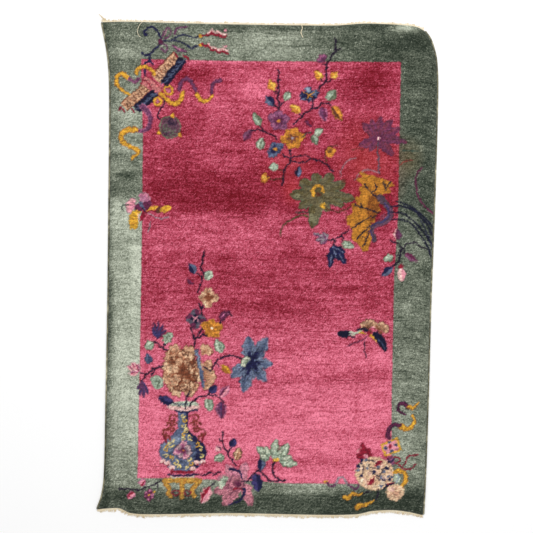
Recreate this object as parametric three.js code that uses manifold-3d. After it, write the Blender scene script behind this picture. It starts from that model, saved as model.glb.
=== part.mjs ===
// A hand-knotted wool rug with overcast sides and short cotton fringes, lying on a floor.
// Millimetres, +Z up, +Y towards the rug's upper end. The origin is under the middle of its box.
import * as THREE from "three";
import { mergeVertices } from "three/addons/utils/BufferGeometryUtils.js";
import Module from "manifold-3d";

// Driving dimensions
const RUG_WIDTH = 1210;
const RUG_LENGTH = 1830;
const THICKNESS = 12; // cotton foundation and standing pile together
const SEAM_GAP = 0.3; // between pieces that are sewn or woven to each other

const PILE_MATERIAL = { color: 0xb8405f, roughness: 0.95, metalness: 0 };
const SELVEDGE_MATERIAL = { color: 0x8a7558, roughness: 0.95, metalness: 0 };
const COTTON_MATERIAL = { color: 0xe2d3b4, roughness: 0.95, metalness: 0 };

// The uneven outline: how far each edge lies from the rug's middle line, at places along that edge
const LEFT_EDGE = [
  { along: -905, out: -638 },
  { along: -850, out: -619 },
  { along: -775, out: -609 },
  { along: -496, out: -603 },
  { along: -126, out: -596 },
  { along: 244, out: -592 },
  { along: 577, out: -589 },
  { along: 707, out: -591 },
  { along: 800, out: -600 },
  { along: 903, out: -620 },
];
const RIGHT_EDGE = [
  { along: -920, out: 579 },
  { along: -803, out: 585 },
  { along: -496, out: 596 },
  { along: -126, out: 606 },
  { along: 244, out: 620 },
  { along: 540, out: 629 },
  { along: 700, out: 632 },
  { along: 780, out: 629 },
  { along: 820, out: 623 },
  { along: 873, out: 606 },
  { along: 903, out: 586 },
];
const UPPER_EDGE = [
  { along: -620, out: 903 },
  { along: -529, out: 905 },
  { along: -344, out: 900 },
  { along: -122, out: 895 },
  { along: 248, out: 891 },
  { along: 359, out: 898 },
  { along: 440, out: 896 },
  { along: 520, out: 891 },
  { along: 560, out: 884 },
  { along: 586, out: 871 },
];
const LOWER_EDGE = [
  { along: -638, out: -903 },
  { along: -590, out: -898 },
  { along: -540, out: -897 },
  { along: -500, out: -914 },
  { along: -429, out: -919 },
  { along: -120, out: -915 },
  { along: 200, out: -921 },
  { along: 340, out: -919 },
  { along: 400, out: -907 },
  { along: 480, out: -904 },
  { along: 540, out: -912 },
  { along: 579, out: -921 },
];

// Soft folds that stand off the floor. Each is a ridge along a line, reaching out to both sides.
const FOLDS = [
  { x1: -590, y1: -830, x2: 90, y2: -838, reach: 84, height: 11 },
  { x1: 90, y1: -838, x2: 540, y2: -822, reach: 80, height: 9 },
  { x1: -556, y1: -700, x2: -550, y2: 60, reach: 46, height: 6 },
  { x1: -548, y1: 330, x2: -545, y2: 620, reach: 44, height: 4 },
  { x1: 420, y1: 838, x2: 578, y2: 760, reach: 62, height: 13 },
  { x1: 578, y1: 760, x2: 590, y2: 540, reach: 48, height: 8 },
  { x1: -420, y1: 350, x2: 380, y2: 322, reach: 120, height: 5 },
  { x1: -300, y1: -165, x2: 500, y2: -225, reach: 100, height: 4 },
  { x1: -60, y1: -430, x2: 540, y2: -402, reach: 100, height: 5 },
];
const FOLD_FADE = 46; // folds die away over this distance from every edge, so the rim lies on the floor

// Grid lines of the rug's slab: close to the rim, then evenly over the rest
const RIM_INSETS = [0, 5, 14, 32, 56, 84, 118];
const PILE_PROFILE = [0.46, 0.78, 0.95, 1, 1, 1, 1]; // share of the thickness at each inset
const MIDDLE_COLUMNS = 14;
const MIDDLE_ROWS = 22;

const SELVEDGE = { radius: 3, sides: 8 };

const WEB_HEIGHT = 2.4; // of the flat-woven end that the fringe hangs from
const UPPER_FRINGE = { webDepth: 3.2, strands: 110, shortest: 3, longest: 10, width: 4.2 };
const LOWER_FRINGE = { webDepth: 5, strands: 130, shortest: 5, longest: 15, width: 4.6 };
const STRAND = { rise: 2, sway: 0.55, root: 1.6, tip: 0.45 };

// A number from 0 to 1 that looks random and is the same on each run
function scatter(seed) {
  const value = Math.sin(seed * 12.9898 + 4.1414) * 43758.5453;
  return value - Math.floor(value);
}

// A smooth curve through a table's rows
function edgeAt(rows, along) {
  const place = THREE.MathUtils.clamp(along, rows[0].along, rows.at(-1).along);
  let i = 0;
  while (i < rows.length - 2 && place > rows[i + 1].along) i += 1;
  const slope = (a, b) => (rows[b].out - rows[a].out) / (rows[b].along - rows[a].along);
  const slopeHere = slope(Math.max(i - 1, 0), i + 1);
  const slopeNext = slope(i, Math.min(i + 2, rows.length - 1));
  const span = rows[i + 1].along - rows[i].along;
  const t = (place - rows[i].along) / span;
  const bump = (1 - t) * (1 - t) * t * span * slopeHere - (1 - t) * t * t * span * slopeNext;
  const ease = t * t * (3 - 2 * t);
  return THREE.MathUtils.lerp(rows[i].out, rows[i + 1].out, ease) + bump;
}

// A place on the rug, where across and along run from 0 to 1
function placeAt(across, along, sideInset = 0) {
  const nominalX = THREE.MathUtils.lerp(LEFT_EDGE.at(-1).out, RIGHT_EDGE.at(-1).out, across);
  const nominalY = THREE.MathUtils.lerp(LOWER_EDGE[0].out, UPPER_EDGE[0].out, along);
  const left = edgeAt(LEFT_EDGE, nominalY) + sideInset;
  const right = edgeAt(RIGHT_EDGE, nominalY) - sideInset;
  const lower = edgeAt(LOWER_EDGE, nominalX);
  const upper = edgeAt(UPPER_EDGE, nominalX);
  return {
    x: THREE.MathUtils.lerp(left, right, across),
    y: THREE.MathUtils.lerp(lower, upper, along),
  };
}

// How far the folds lift the rug off the floor at a place
function liftAt(across, along) {
  const { x, y } = placeAt(across, along);
  let lift = 0;
  for (const fold of FOLDS) {
    const dx = fold.x2 - fold.x1;
    const dy = fold.y2 - fold.y1;
    const share = ((x - fold.x1) * dx + (y - fold.y1) * dy) / (dx * dx + dy * dy);
    const t = THREE.MathUtils.clamp(share, 0, 1);
    const away = Math.hypot(x - fold.x1 - t * dx, y - fold.y1 - t * dy) / fold.reach;
    if (away < 1) lift = Math.max(lift, fold.height * Math.cos((away * Math.PI) / 2) ** 2);
  }
  const toSide = Math.min(across, 1 - across) * RUG_WIDTH;
  const toEnd = Math.min(along, 1 - along) * RUG_LENGTH;
  const fadeSide = THREE.MathUtils.smoothstep(toSide, 0, FOLD_FADE);
  const fadeEnd = THREE.MathUtils.smoothstep(toEnd, 0, FOLD_FADE);
  return lift * fadeSide * fadeEnd;
}

// Grid lines from 0 to 1 over a length, each with the pile's share of the full thickness there
function gridLines(length, middleSteps) {
  const lastInset = RIM_INSETS.at(-1) / length;
  const lines = RIM_INSETS.map((inset, i) => ({ at: inset / length, share: PILE_PROFILE[i] }));
  for (let i = 1; i < middleSteps; i += 1) {
    lines.push({ at: lastInset + ((1 - 2 * lastInset) * i) / middleSteps, share: 1 });
  }
  const mirrored = RIM_INSETS.map((inset, i) => ({ at: 1 - inset / length, share: PILE_PROFILE[i] }));
  return lines.concat(mirrored.reverse());
}

function geometryFrom(points, faces) {
  const geometry = new THREE.BufferGeometry();
  geometry.setAttribute("position", new THREE.Float32BufferAttribute(points, 3));
  geometry.setIndex(faces);
  return geometry;
}

// The knotted slab: an upper and a lower grid of the same places, joined round the rim
function rugSlab() {
  const columns = gridLines(RUG_WIDTH, MIDDLE_COLUMNS);
  const rows = gridLines(RUG_LENGTH, MIDDLE_ROWS);
  const sideInset = 2 * SELVEDGE.radius + SEAM_GAP;
  const points = [];
  const faces = [];
  const upper = (i, j) => 2 * (j * columns.length + i);
  const lower = (i, j) => upper(i, j) + 1;
  for (const row of rows) {
    for (const column of columns) {
      const { x, y } = placeAt(column.at, row.at, sideInset);
      const floor = liftAt(column.at, row.at);
      points.push(x, y, floor + THICKNESS * Math.min(column.share, row.share));
      points.push(x, y, floor);
    }
  }
  const quad = (a, b, c, d) => faces.push(a, b, c, a, c, d);
  const lastColumn = columns.length - 1;
  const lastRow = rows.length - 1;
  for (let j = 0; j < lastRow; j += 1) {
    for (let i = 0; i < lastColumn; i += 1) {
      quad(upper(i, j), upper(i + 1, j), upper(i + 1, j + 1), upper(i, j + 1));
      quad(lower(i, j), lower(i, j + 1), lower(i + 1, j + 1), lower(i + 1, j));
    }
    quad(upper(0, j), upper(0, j + 1), lower(0, j + 1), lower(0, j));
    quad(lower(lastColumn, j), lower(lastColumn, j + 1), upper(lastColumn, j + 1), upper(lastColumn, j));
  }
  for (let i = 0; i < lastColumn; i += 1) {
    quad(lower(i, 0), lower(i + 1, 0), upper(i + 1, 0), upper(i, 0));
    quad(upper(i, lastRow), upper(i + 1, lastRow), lower(i + 1, lastRow), lower(i, lastRow));
  }
  return geometryFrom(points, faces);
}

// A closed rod through a list of sections. Each section is a ring of points in the same order.
function rodThrough(rings) {
  const sides = rings[0].length;
  const points = rings.flat(2);
  const faces = [];
  for (let k = 0; k + 1 < rings.length; k += 1) {
    for (let s = 0; s < sides; s += 1) {
      const a = k * sides + s;
      const b = k * sides + ((s + 1) % sides);
      faces.push(a, b, b + sides, a, b + sides, a + sides);
    }
  }
  const last = (rings.length - 1) * sides;
  for (let s = 1; s + 1 < sides; s += 1) {
    faces.push(0, s + 1, s);
    faces.push(last, last + s, last + s + 1);
  }
  return geometryFrom(points, faces);
}

// The overcast cord along one side, resting on the floor. side is -1 for the left and 1 for the right.
function selvedgeCord(side) {
  const rings = [];
  for (const row of gridLines(RUG_LENGTH, MIDDLE_ROWS)) {
    const { x, y } = placeAt(side < 0 ? 0 : 1, row.at, SELVEDGE.radius);
    const ring = [];
    for (let s = 0; s < SELVEDGE.sides; s += 1) {
      const turn = ((s + 0.5) / SELVEDGE.sides) * 2 * Math.PI;
      const radius = SELVEDGE.radius / Math.cos(Math.PI / SELVEDGE.sides);
      ring.push([x + radius * Math.sin(turn), y, SELVEDGE.radius + radius * Math.cos(turn)]);
    }
    rings.push(ring);
  }
  return rodThrough(rings);
}

const wasm = await Module();
wasm.setup();

function toSolid(geometry) {
  const merged = mergeVertices(geometry, 1e-4);
  return new wasm.Manifold(
    new wasm.Mesh({
      numProp: 3,
      vertProperties: new Float32Array(merged.attributes.position.array),
      triVerts: new Uint32Array(merged.index.array),
    }),
  );
}

function toGeometry(solid) {
  const { vertProperties, triVerts } = solid.getMesh();
  return geometryFrom(Array.from(vertProperties), Array.from(triVerts));
}

// A place past one end of the slab, which runs straight from one grid line to the next.
// end is 1 for the upper end and -1 for the lower one.
function beyondEnd(end, across, distance) {
  const lines = gridLines(RUG_WIDTH, MIDDLE_COLUMNS);
  const next = Math.max(1, lines.findIndex((line) => line.at >= across));
  const sideInset = 2 * SELVEDGE.radius + SEAM_GAP;
  const [from, to] = [lines[next - 1], lines[next]].map((line) => placeAt(line.at, end > 0 ? 1 : 0, sideInset));
  const t = (across - lines[next - 1].at) / (lines[next].at - lines[next - 1].at);
  return {
    x: THREE.MathUtils.lerp(from.x, to.x, t),
    y: THREE.MathUtils.lerp(from.y, to.y, t) + end * distance,
  };
}

// The flat-woven end of the rug, a low strip just past the pile
function endWeb(end, fringe) {
  const columns = gridLines(RUG_WIDTH, MIDDLE_COLUMNS);
  if (end > 0) columns.reverse();
  const rings = columns.map((column) => {
    const near = beyondEnd(end, column.at, SEAM_GAP);
    const far = beyondEnd(end, column.at, SEAM_GAP + fringe.webDepth);
    return [
      [near.x, near.y, 0],
      [near.x, near.y, WEB_HEIGHT],
      [far.x, far.y, WEB_HEIGHT],
      [far.x, far.y, 0],
    ];
  });
  return rodThrough(rings);
}

// One lock of warp ends, three-sided and flat on the floor
function fringeLock(end, fringe, index) {
  const across = (index + 0.5 + 0.5 * (scatter(index) - 0.5)) / fringe.strands;
  const worn = scatter(index * 3.7 + end);
  const length = THREE.MathUtils.lerp(fringe.shortest, fringe.longest, worn * worn);
  const lean = (scatter(index * 5.3 + 2 * end) - 0.5) * 2 * STRAND.sway * length;
  const root = beyondEnd(end, across, SEAM_GAP + fringe.webDepth - STRAND.root);
  const rings = [0, 1].map((share) => {
    const x = root.x + lean * share;
    const y = root.y + end * (STRAND.root + length) * share;
    const size = THREE.MathUtils.lerp(1, STRAND.tip, share);
    const half = (fringe.width * size) / 2;
    return [
      [x - end * half, y, 0],
      [x, y, STRAND.rise * size],
      [x + end * half, y, 0],
    ];
  });
  return rodThrough(rings);
}

// Loose warp yarns that have come away at the upper end: over the pile, or out past the corner.
// Each row is a place on the rug's plane, and the height of the yarn's middle there.
const LOOSE_YARNS = [
  {
    thickness: 3,
    path: [
      { x: 122, y: 895.2, z: 1.4 },
      { x: 122, y: 896.2, z: 8 },
      { x: 123, y: 893, z: 14.2 },
      { x: 127, y: 880, z: 14.4 },
      { x: 122, y: 864, z: 14.4 },
      { x: 129, y: 846, z: 14.4 },
    ],
  },
  {
    thickness: 2,
    path: [
      { x: -462, y: 905.2, z: 1.4 },
      { x: -462, y: 906.8, z: 8 },
      { x: -464, y: 903, z: 13.6 },
      { x: -476, y: 890, z: 13.8 },
      { x: -483, y: 870, z: 13.8 },
      { x: -480, y: 856, z: 13.8 },
      { x: -472, y: 846, z: 13.8 },
    ],
  },
];

function looseYarn({ thickness, path }) {
  const toCorner = thickness / 2 / Math.SQRT2;
  const rings = path.map(({ x, y, z }, i) => {
    const before = path[Math.max(i - 1, 0)];
    const after = path[Math.min(i + 1, path.length - 1)];
    const heading = new THREE.Vector3(after.x - before.x, after.y - before.y, after.z - before.z).normalize();
    const aside = new THREE.Vector3(1, 0, 0).addScaledVector(heading, -heading.x).normalize();
    const above = new THREE.Vector3().crossVectors(aside, heading);
    return [
      [1, 1],
      [1, -1],
      [-1, -1],
      [-1, 1],
    ].map(([a, b]) => {
      const corner = new THREE.Vector3(x, y, z);
      corner.addScaledVector(aside, a * toCorner).addScaledVector(above, b * toCorner);
      return corner.toArray();
    });
  });
  return rodThrough(rings);
}

function fringedEnd(end, fringe, extras) {
  let solid = toSolid(endWeb(end, fringe));
  for (let i = 0; i < fringe.strands; i += 1) solid = solid.add(toSolid(fringeLock(end, fringe, i)));
  for (const extra of extras) solid = solid.add(toSolid(extra));
  return toGeometry(solid);
}

// The frayed tuft at the upper left corner, a few long locks that fan out past the end
const TUFT_WIDTH = 3;
const TUFT_SECTIONS = [0, 0.4, 0.75, 1];
const TUFT_LOCKS = [
  { fromSide: 6.5, length: 22, lean: -9 },
  { fromSide: 11, length: 30, lean: -24 },
  { fromSide: 15.5, length: 17, lean: -6 },
  { fromSide: 20, length: 12, lean: 5 },
];

function tuftLock({ fromSide, length, lean }) {
  const root = beyondEnd(1, fromSide / RUG_WIDTH, SEAM_GAP + UPPER_FRINGE.webDepth - STRAND.root);
  const rings = TUFT_SECTIONS.map((share) => {
    const half = (TUFT_WIDTH * THREE.MathUtils.lerp(1, STRAND.tip, share)) / 2;
    const x = root.x + lean * share * share;
    const y = root.y + length * share;
    return [
      [x - half, y, 0],
      [x, y, STRAND.rise],
      [x + half, y, 0],
    ];
  });
  return rodThrough(rings);
}

const rug = new THREE.Group();

function addPiece(name, geometry, look) {
  const mesh = new THREE.Mesh(geometry, new THREE.MeshStandardMaterial(look));
  mesh.name = name;
  rug.add(mesh);
}

addPiece("rug_body", rugSlab(), PILE_MATERIAL);
addPiece("selvedge_left", selvedgeCord(-1), SELVEDGE_MATERIAL);
addPiece("selvedge_right", selvedgeCord(1), SELVEDGE_MATERIAL);
const upperExtras = [...LOOSE_YARNS.map(looseYarn), ...TUFT_LOCKS.map(tuftLock)];
addPiece("fringe_upper", fringedEnd(1, UPPER_FRINGE, upperExtras), COTTON_MATERIAL);
addPiece("fringe_lower", fringedEnd(-1, LOWER_FRINGE, []), COTTON_MATERIAL);

// The group is moved so that the origin lies under the middle of the rug's box
const box = new THREE.Box3().setFromObject(rug);
rug.position.set(-(box.min.x + box.max.x) / 2, -(box.min.y + box.max.y) / 2, 0);

export default rug;
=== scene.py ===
import bpy
import numpy as np
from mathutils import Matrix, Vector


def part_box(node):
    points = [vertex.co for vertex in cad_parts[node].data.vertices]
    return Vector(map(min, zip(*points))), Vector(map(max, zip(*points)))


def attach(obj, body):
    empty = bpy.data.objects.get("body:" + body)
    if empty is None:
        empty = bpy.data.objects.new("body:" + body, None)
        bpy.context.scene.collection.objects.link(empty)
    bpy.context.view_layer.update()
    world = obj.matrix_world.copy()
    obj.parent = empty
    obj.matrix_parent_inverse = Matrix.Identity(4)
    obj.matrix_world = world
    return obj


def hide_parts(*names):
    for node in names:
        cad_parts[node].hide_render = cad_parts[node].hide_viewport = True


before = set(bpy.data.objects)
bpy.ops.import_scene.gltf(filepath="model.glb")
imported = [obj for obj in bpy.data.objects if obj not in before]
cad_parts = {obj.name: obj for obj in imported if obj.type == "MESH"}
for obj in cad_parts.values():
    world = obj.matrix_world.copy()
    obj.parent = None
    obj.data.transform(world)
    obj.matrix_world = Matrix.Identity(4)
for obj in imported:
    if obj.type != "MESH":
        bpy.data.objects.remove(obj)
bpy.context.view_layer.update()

rng = np.random.default_rng(1925)
metre = 0.001  # one millimetre

# The rug's shape, as its solids have it
rug = {
    "width": 1210,
    "length": 1830,
    "thickness": 12,
    "sideCord": 3,  # radius of the overcast cord
    "seam": 0.3,
    "foldFade": 46,
}

# How far each edge lies from the middle line, at places along that edge
outline = {
    "left": {
        "along": (-905, -850, -775, -496, -126, 244, 577, 707, 800, 903),
        "out": (-638, -619, -609, -603, -596, -592, -589, -591, -600, -620),
    },
    "right": {
        "along": (-920, -803, -496, -126, 244, 540, 700, 780, 820, 873, 903),
        "out": (579, 585, 596, 606, 620, 629, 632, 629, 623, 606, 586),
    },
    "upper": {
        "along": (-620, -529, -344, -122, 248, 359, 440, 520, 560, 586),
        "out": (903, 905, 900, 895, 891, 898, 896, 891, 884, 871),
    },
    "lower": {
        "along": (-638, -590, -540, -500, -429, -120, 200, 340, 400, 480, 540, 579),
        "out": (-903, -898, -897, -914, -919, -915, -921, -919, -907, -904, -912, -921),
    },
}

# Soft folds off the floor: a ridge from one place to another, its reach to both sides, its height
folds = [
    {"start": (-590, -830), "end": (90, -838), "reach": 84, "height": 11},
    {"start": (90, -838), "end": (540, -822), "reach": 80, "height": 9},
    {"start": (-556, -700), "end": (-550, 60), "reach": 46, "height": 6},
    {"start": (-548, 330), "end": (-545, 620), "reach": 44, "height": 4},
    {"start": (420, 838), "end": (578, 760), "reach": 62, "height": 13},
    {"start": (578, 760), "end": (590, 540), "reach": 48, "height": 8},
    {"start": (-420, 350), "end": (380, 322), "reach": 120, "height": 5},
    {"start": (-300, -165), "end": (500, -225), "reach": 100, "height": 4},
    {"start": (-60, -430), "end": (540, -402), "reach": 100, "height": 5},
]


def between(low, high, share):
    return low + (high - low) * share


def easeIn(value, low, high):
    t = np.clip((value - low) / (high - low), 0, 1)
    return t * t * (3 - 2 * t)


def edgeAt(edge, along):
    rows = np.array(edge["along"], float)
    out = np.array(edge["out"], float)
    place = np.clip(along, rows[0], rows[-1])
    i = np.searchsorted(rows[1:-1], place)
    before = np.maximum(i - 1, 0)
    after = np.minimum(i + 2, len(rows) - 1)
    slopeHere = (out[i + 1] - out[before]) / (rows[i + 1] - rows[before])
    slopeNext = (out[after] - out[i]) / (rows[after] - rows[i])
    span = rows[i + 1] - rows[i]
    t = (place - rows[i]) / span
    bump = (1 - t) ** 2 * t * span * slopeHere - (1 - t) * t**2 * span * slopeNext
    return between(out[i], out[i + 1], t * t * (3 - 2 * t)) + bump


def placeAt(across, along, sideInset=0.0):
    # across and along run from 0 to 1, from the lower left corner
    nominalX = between(outline["left"]["out"][-1], outline["right"]["out"][-1], across)
    nominalY = between(outline["lower"]["out"][0], outline["upper"]["out"][0], along)
    left = edgeAt(outline["left"], nominalY) + sideInset
    right = edgeAt(outline["right"], nominalY) - sideInset
    lower = edgeAt(outline["lower"], nominalX)
    upper = edgeAt(outline["upper"], nominalX)
    return between(left, right, across), between(lower, upper, along)


def liftAt(across, along):
    x, y = placeAt(across, along)
    lift = np.zeros(np.shape(x))
    for fold in folds:
        dx = fold["end"][0] - fold["start"][0]
        dy = fold["end"][1] - fold["start"][1]
        fromX = x - fold["start"][0]
        fromY = y - fold["start"][1]
        t = np.clip((fromX * dx + fromY * dy) / (dx * dx + dy * dy), 0, 1)
        away = np.minimum(np.hypot(fromX - t * dx, fromY - t * dy) / fold["reach"], 1)
        lift = np.maximum(lift, fold["height"] * np.cos(away * np.pi / 2) ** 2)
    toSide = np.minimum(across, 1 - across) * rug["width"]
    toEnd = np.minimum(along, 1 - along) * rug["length"]
    return lift * easeIn(toSide, 0, rug["foldFade"]) * easeIn(toEnd, 0, rug["foldFade"])


slabInset = 2 * rug["sideCord"] + rug["seam"]
cornerX, cornerY = placeAt(np.float64(0), np.float64(0), slabInset)
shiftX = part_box("rug_body")[0].x / metre - float(cornerX)
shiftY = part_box("selvedge_left")[0].y / metre - float(cornerY)

# The weaver's chart
chart = {
    "squares": 533,
    "square": 3.7,  # millimetres
    "cells": 2,  # cells drawn to a square's side
    "middle": (268, 266),  # the square over the rug's middle lines
    "crispness": 1.4,  # how fast a shape's edge goes from none to full, for each square
}
cells = chart["cells"]
chartCells = chart["squares"] * cells
inlay = np.zeros((chartCells, chartCells, 3))  # wool of the motifs, already weighted by how much covers
covered = np.zeros((chartCells, chartCells))

wools = {
    "gold": (214, 160, 54),
    "marigold": (206, 136, 54),
    "amber": (176, 116, 42),
    "coral": (188, 112, 112),
    "saffron": (228, 184, 84),
    "straw": (238, 208, 124),
    "ochre": (176, 110, 44),
    "copper": (128, 74, 30),
    "navy": (28, 28, 64),
    "ink": (20, 20, 44),
    "indigo": (60, 54, 100),
    "night": (30, 18, 40),
    "slate": (90, 100, 126),
    "storm": (60, 70, 98),
    "mist": (138, 150, 168),
    "pewter": (88, 82, 96),
    "plum": (96, 38, 68),
    "purple": (102, 56, 88),
    "heather": (126, 74, 104),
    "mauve": (186, 112, 144),
    "mallow": (146, 88, 100),
    "thrift": (178, 114, 132),
    "rose": (226, 146, 160),
    "blush": (234, 186, 180),
    "tan": (190, 144, 114),
    "fawn": (202, 158, 126),
    "sand": (220, 182, 148),
    "bark": (124, 68, 46),
    "umber": (90, 50, 36),
    "russet": (128, 52, 46),
    "crimson": (136, 28, 48),
    "wine": (104, 44, 60),
    "dusk": (78, 60, 72),
    "brass": (188, 144, 66),
    "sage": (148, 164, 144),
    "celadon": (180, 192, 170),
    "moss": (96, 106, 84),
    "olive": (82, 72, 44),
    "reedGreen": (96, 88, 64),
    "willow": (122, 118, 90),
    "pine": (56, 72, 62),
    "smoke": (150, 134, 142),
    "beige": (224, 186, 152),
    "cream": (234, 222, 200),
}


def smoothThrough(points, closed=False, steps=6):
    knots = np.array(points, float)
    if len(knots) < 3:
        return knots
    if closed:
        run = np.concatenate([knots[-1:], knots, knots[:2]])
    else:
        run = np.concatenate([[2 * knots[0] - knots[1]], knots, [2 * knots[-1] - knots[-2]]])
    t = np.linspace(0, 1, steps, endpoint=False)[None, :, None]
    a, b, c, d = (run[i : len(run) - 3 + i, None, :] for i in range(4))
    curve = 0.5 * (2 * b + (c - a) * t + (2 * a - 5 * b + 4 * c - d) * t**2 + (3 * b - a - 3 * c + d) * t**3)
    curve = curve.reshape(-1, knots.shape[1])
    return curve if closed else np.concatenate([curve, knots[-1:]])


def chartWindow(points, margin):
    low = np.floor((points.min(axis=0) - margin) * cells).astype(int)
    high = np.ceil((points.max(axis=0) + margin) * cells).astype(int) + 1
    low, high = np.clip(low, 0, chartCells - 2), np.clip(high, 2, chartCells)
    window = (slice(low[1], high[1]), slice(low[0], high[0]))
    down, across = np.mgrid[window]
    return window, (across + 0.5) / cells, (down + 0.5) / cells


def inlayWool(window, wool, distance, strength=1.0):
    # distance is in squares, below nought inside the shape
    cover = np.clip(0.5 - chart["crispness"] * distance, 0, 1) * strength
    colour = np.array(wools[wool]) / 255
    inlay[window] = inlay[window] * (1 - cover[..., None]) + colour * cover[..., None]
    covered[window] = covered[window] * (1 - cover) + cover


def yarnLine(wool, points, width, tip=None, strength=1.0, smooth=True):
    # a line of one wool, as wide as tip at its far end
    path = smoothThrough(points) if smooth else np.array(points, float)
    window, across, down = chartWindow(path, width)
    halves = np.linspace(width, width if tip is None else tip, len(path)) / 2
    nearest = np.full(across.shape, 99.0)
    for (x1, y1), (x2, y2), half1, half2 in zip(path[:-1], path[1:], halves[:-1], halves[1:]):
        dx, dy = x2 - x1, y2 - y1
        t = np.clip(((across - x1) * dx + (down - y1) * dy) / (dx * dx + dy * dy + 1e-9), 0, 1)
        away = np.hypot(across - x1 - t * dx, down - y1 - t * dy) - between(half1, half2, t)
        nearest = np.minimum(nearest, away)
    inlayWool(window, wool, nearest, strength)


def outlineDistance(path, across, down):
    nearest = np.full(across.shape, 99.0)
    inside = np.zeros(across.shape, bool)
    for (x1, y1), (x2, y2) in zip(path, np.roll(path, -1, axis=0)):
        dx, dy = x2 - x1, y2 - y1
        t = np.clip(((across - x1) * dx + (down - y1) * dy) / (dx * dx + dy * dy + 1e-9), 0, 1)
        nearest = np.minimum(nearest, np.hypot(across - x1 - t * dx, down - y1 - t * dy))
        if dy:
            inside ^= ((y1 > down) != (y2 > down)) & (across < x1 + (down - y1) * dx / dy)
    return np.where(inside, -nearest, nearest)


def patch(wool, points, smooth=True, strength=1.0):
    # a closed outline filled with one wool
    path = smoothThrough(points, closed=True) if smooth else np.array(points, float)
    window, across, down = chartWindow(path, 2)
    inlayWool(window, wool, outlineDistance(path, across, down), strength)


def oval(wool, centre, width, height, turn=0, strength=1.0):
    points = np.array([centre], float)
    window, across, down = chartWindow(points, max(width, height) / 2 + 2)
    angle = np.radians(turn)
    u = (across - centre[0]) * np.cos(angle) + (down - centre[1]) * np.sin(angle)
    v = (down - centre[1]) * np.cos(angle) - (across - centre[0]) * np.sin(angle)
    share = np.hypot(u / (width / 2), v / (height / 2))
    inlayWool(window, wool, (share - 1) * min(width, height) / 2, strength)


def leaf(wool, root, tip, width, shade=None, vein=None, bend=0.0, blunt=0.8, strength=1.0, frill=0.0, lobes=6,
         rim=None):
    # shade fills the half to the right of the way from root to tip, and frill scallops both sides
    root, tip = np.array(root, float), np.array(tip, float)
    axis = tip - root
    side = np.array([-axis[1], axis[0]]) / np.hypot(*axis)
    u = np.linspace(0, 1, 21)[:, None]
    middle = root + axis * u + side * bend * np.sin(np.pi * u)
    scallop = 1 + frill * np.sin(lobes * np.pi * u + root[0])
    half = side * width / 2 * np.sin(np.pi * u**0.85) ** blunt * scallop
    patch(wool, np.concatenate([middle - half, (middle + half)[::-1]]), smooth=False, strength=strength)
    if shade:
        patch(shade, np.concatenate([middle, (middle + half)[::-1]]), smooth=False, strength=strength)
    if rim:
        for rimHalf in (half, -half):
            yarnLine(rim, (middle + rimHalf * 0.88)[3:19:3], 1.1, strength=0.8)
    if vein:
        yarnLine(vein, [middle[2], middle[10], middle[16]], 1.0, tip=0.5)


def flower(wool, centre, reach, petals, width, turn=0, shade=None, heart=None, heartSize=3.0, inner=None,
           vein=None):
    # petals stand evenly round the centre, each a little different; turn is where the first points
    centre = np.array(centre, float)
    for k in range(petals):
        angle = np.radians(turn + 360 * k / petals + 5 * np.sin(4.1 * k + turn))
        way = np.array([np.cos(angle), np.sin(angle)]) * (1 + 0.09 * np.sin(2.3 * k + turn))
        leaf(wool, centre + way * reach * 0.12, centre + way * reach, width, shade=shade, blunt=0.5,
             frill=0.12, lobes=5)
        if vein:
            crinkle(vein, centre + way * reach * 0.2, centre + way * reach, width, 3, strength=0.6)
        if inner:
            leaf(inner, centre, centre + way * reach * 0.5, width * 0.4, blunt=0.6)
    if heart:
        oval(heart, centre, heartSize, heartSize)


def crinkle(wool, root, tip, width, count, strength=0.7):
    # thin lines that run up a petal and spread with it
    root, tip = np.array(root, float), np.array(tip, float)
    axis = tip - root
    side = np.array([-axis[1], axis[0]]) / np.hypot(*axis)
    for k in range(count):
        aside = (k - (count - 1) / 2) / max(count, 2) * width * 0.75
        u = np.array([0.3, 0.5, 0.68, 0.86 - 0.12 * abs(aside) / max(width, 1)])
        wander = (aside * np.sin(np.pi * np.clip(u, 0, 0.75)) + 0.5 * np.sin(3 * u + k))[:, None]
        yarnLine(wool, root + axis * u[:, None] + side * wander, 0.9, tip=0.7, strength=strength)


def ruffle(foot, turn, reach, spread, wool, rim, vein):
    # a fan-shaped petal: a scalloped rim, a shadow behind it and creases that run out from its foot
    foot = np.array(foot, float)
    share = np.linspace(0, 1, 19)
    angles = np.radians(turn + (share * 2 - 1) * spread)
    ways = np.stack([np.cos(angles), np.sin(angles)], axis=1)
    out = reach * (0.7 + 0.2 * np.sin(np.pi * share) + 0.16 * np.abs(np.sin(3 * np.pi * share)))
    edge = foot + ways * out[:, None]
    patch(vein, np.concatenate([[foot], foot + ways * (out + 0.9)[:, None]]), smooth=False, strength=0.75)
    patch(wool, np.concatenate([[foot], edge]), smooth=False)
    yarnLine(rim, foot + ways[1:-1] * (out[1:-1] - 0.9)[:, None], 1.2, strength=0.65)
    for k in (5, 9, 13):
        yarnLine(vein, [foot + ways[k] * out[k] * 0.15, foot + ways[k] * out[k] * 0.62], 1.0, tip=0.6,
                 strength=0.55)


def curl(wool, at, size, turn, width=1.3, hand=1, strength=1.0):
    # a small hooked scroll
    angle = np.radians(turn)
    hook = np.array([(-1, 0.2), (-0.3, -0.6), (0.6, -0.4), (0.7, 0.4), (0.1, 0.5)]) * size
    x = at[0] + hook[:, 0] * np.cos(angle) - hook[:, 1] * hand * np.sin(angle)
    y = at[1] + hook[:, 0] * np.sin(angle) + hook[:, 1] * hand * np.cos(angle)
    yarnLine(wool, np.stack([x, y], axis=1), width, strength=strength)


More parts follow.
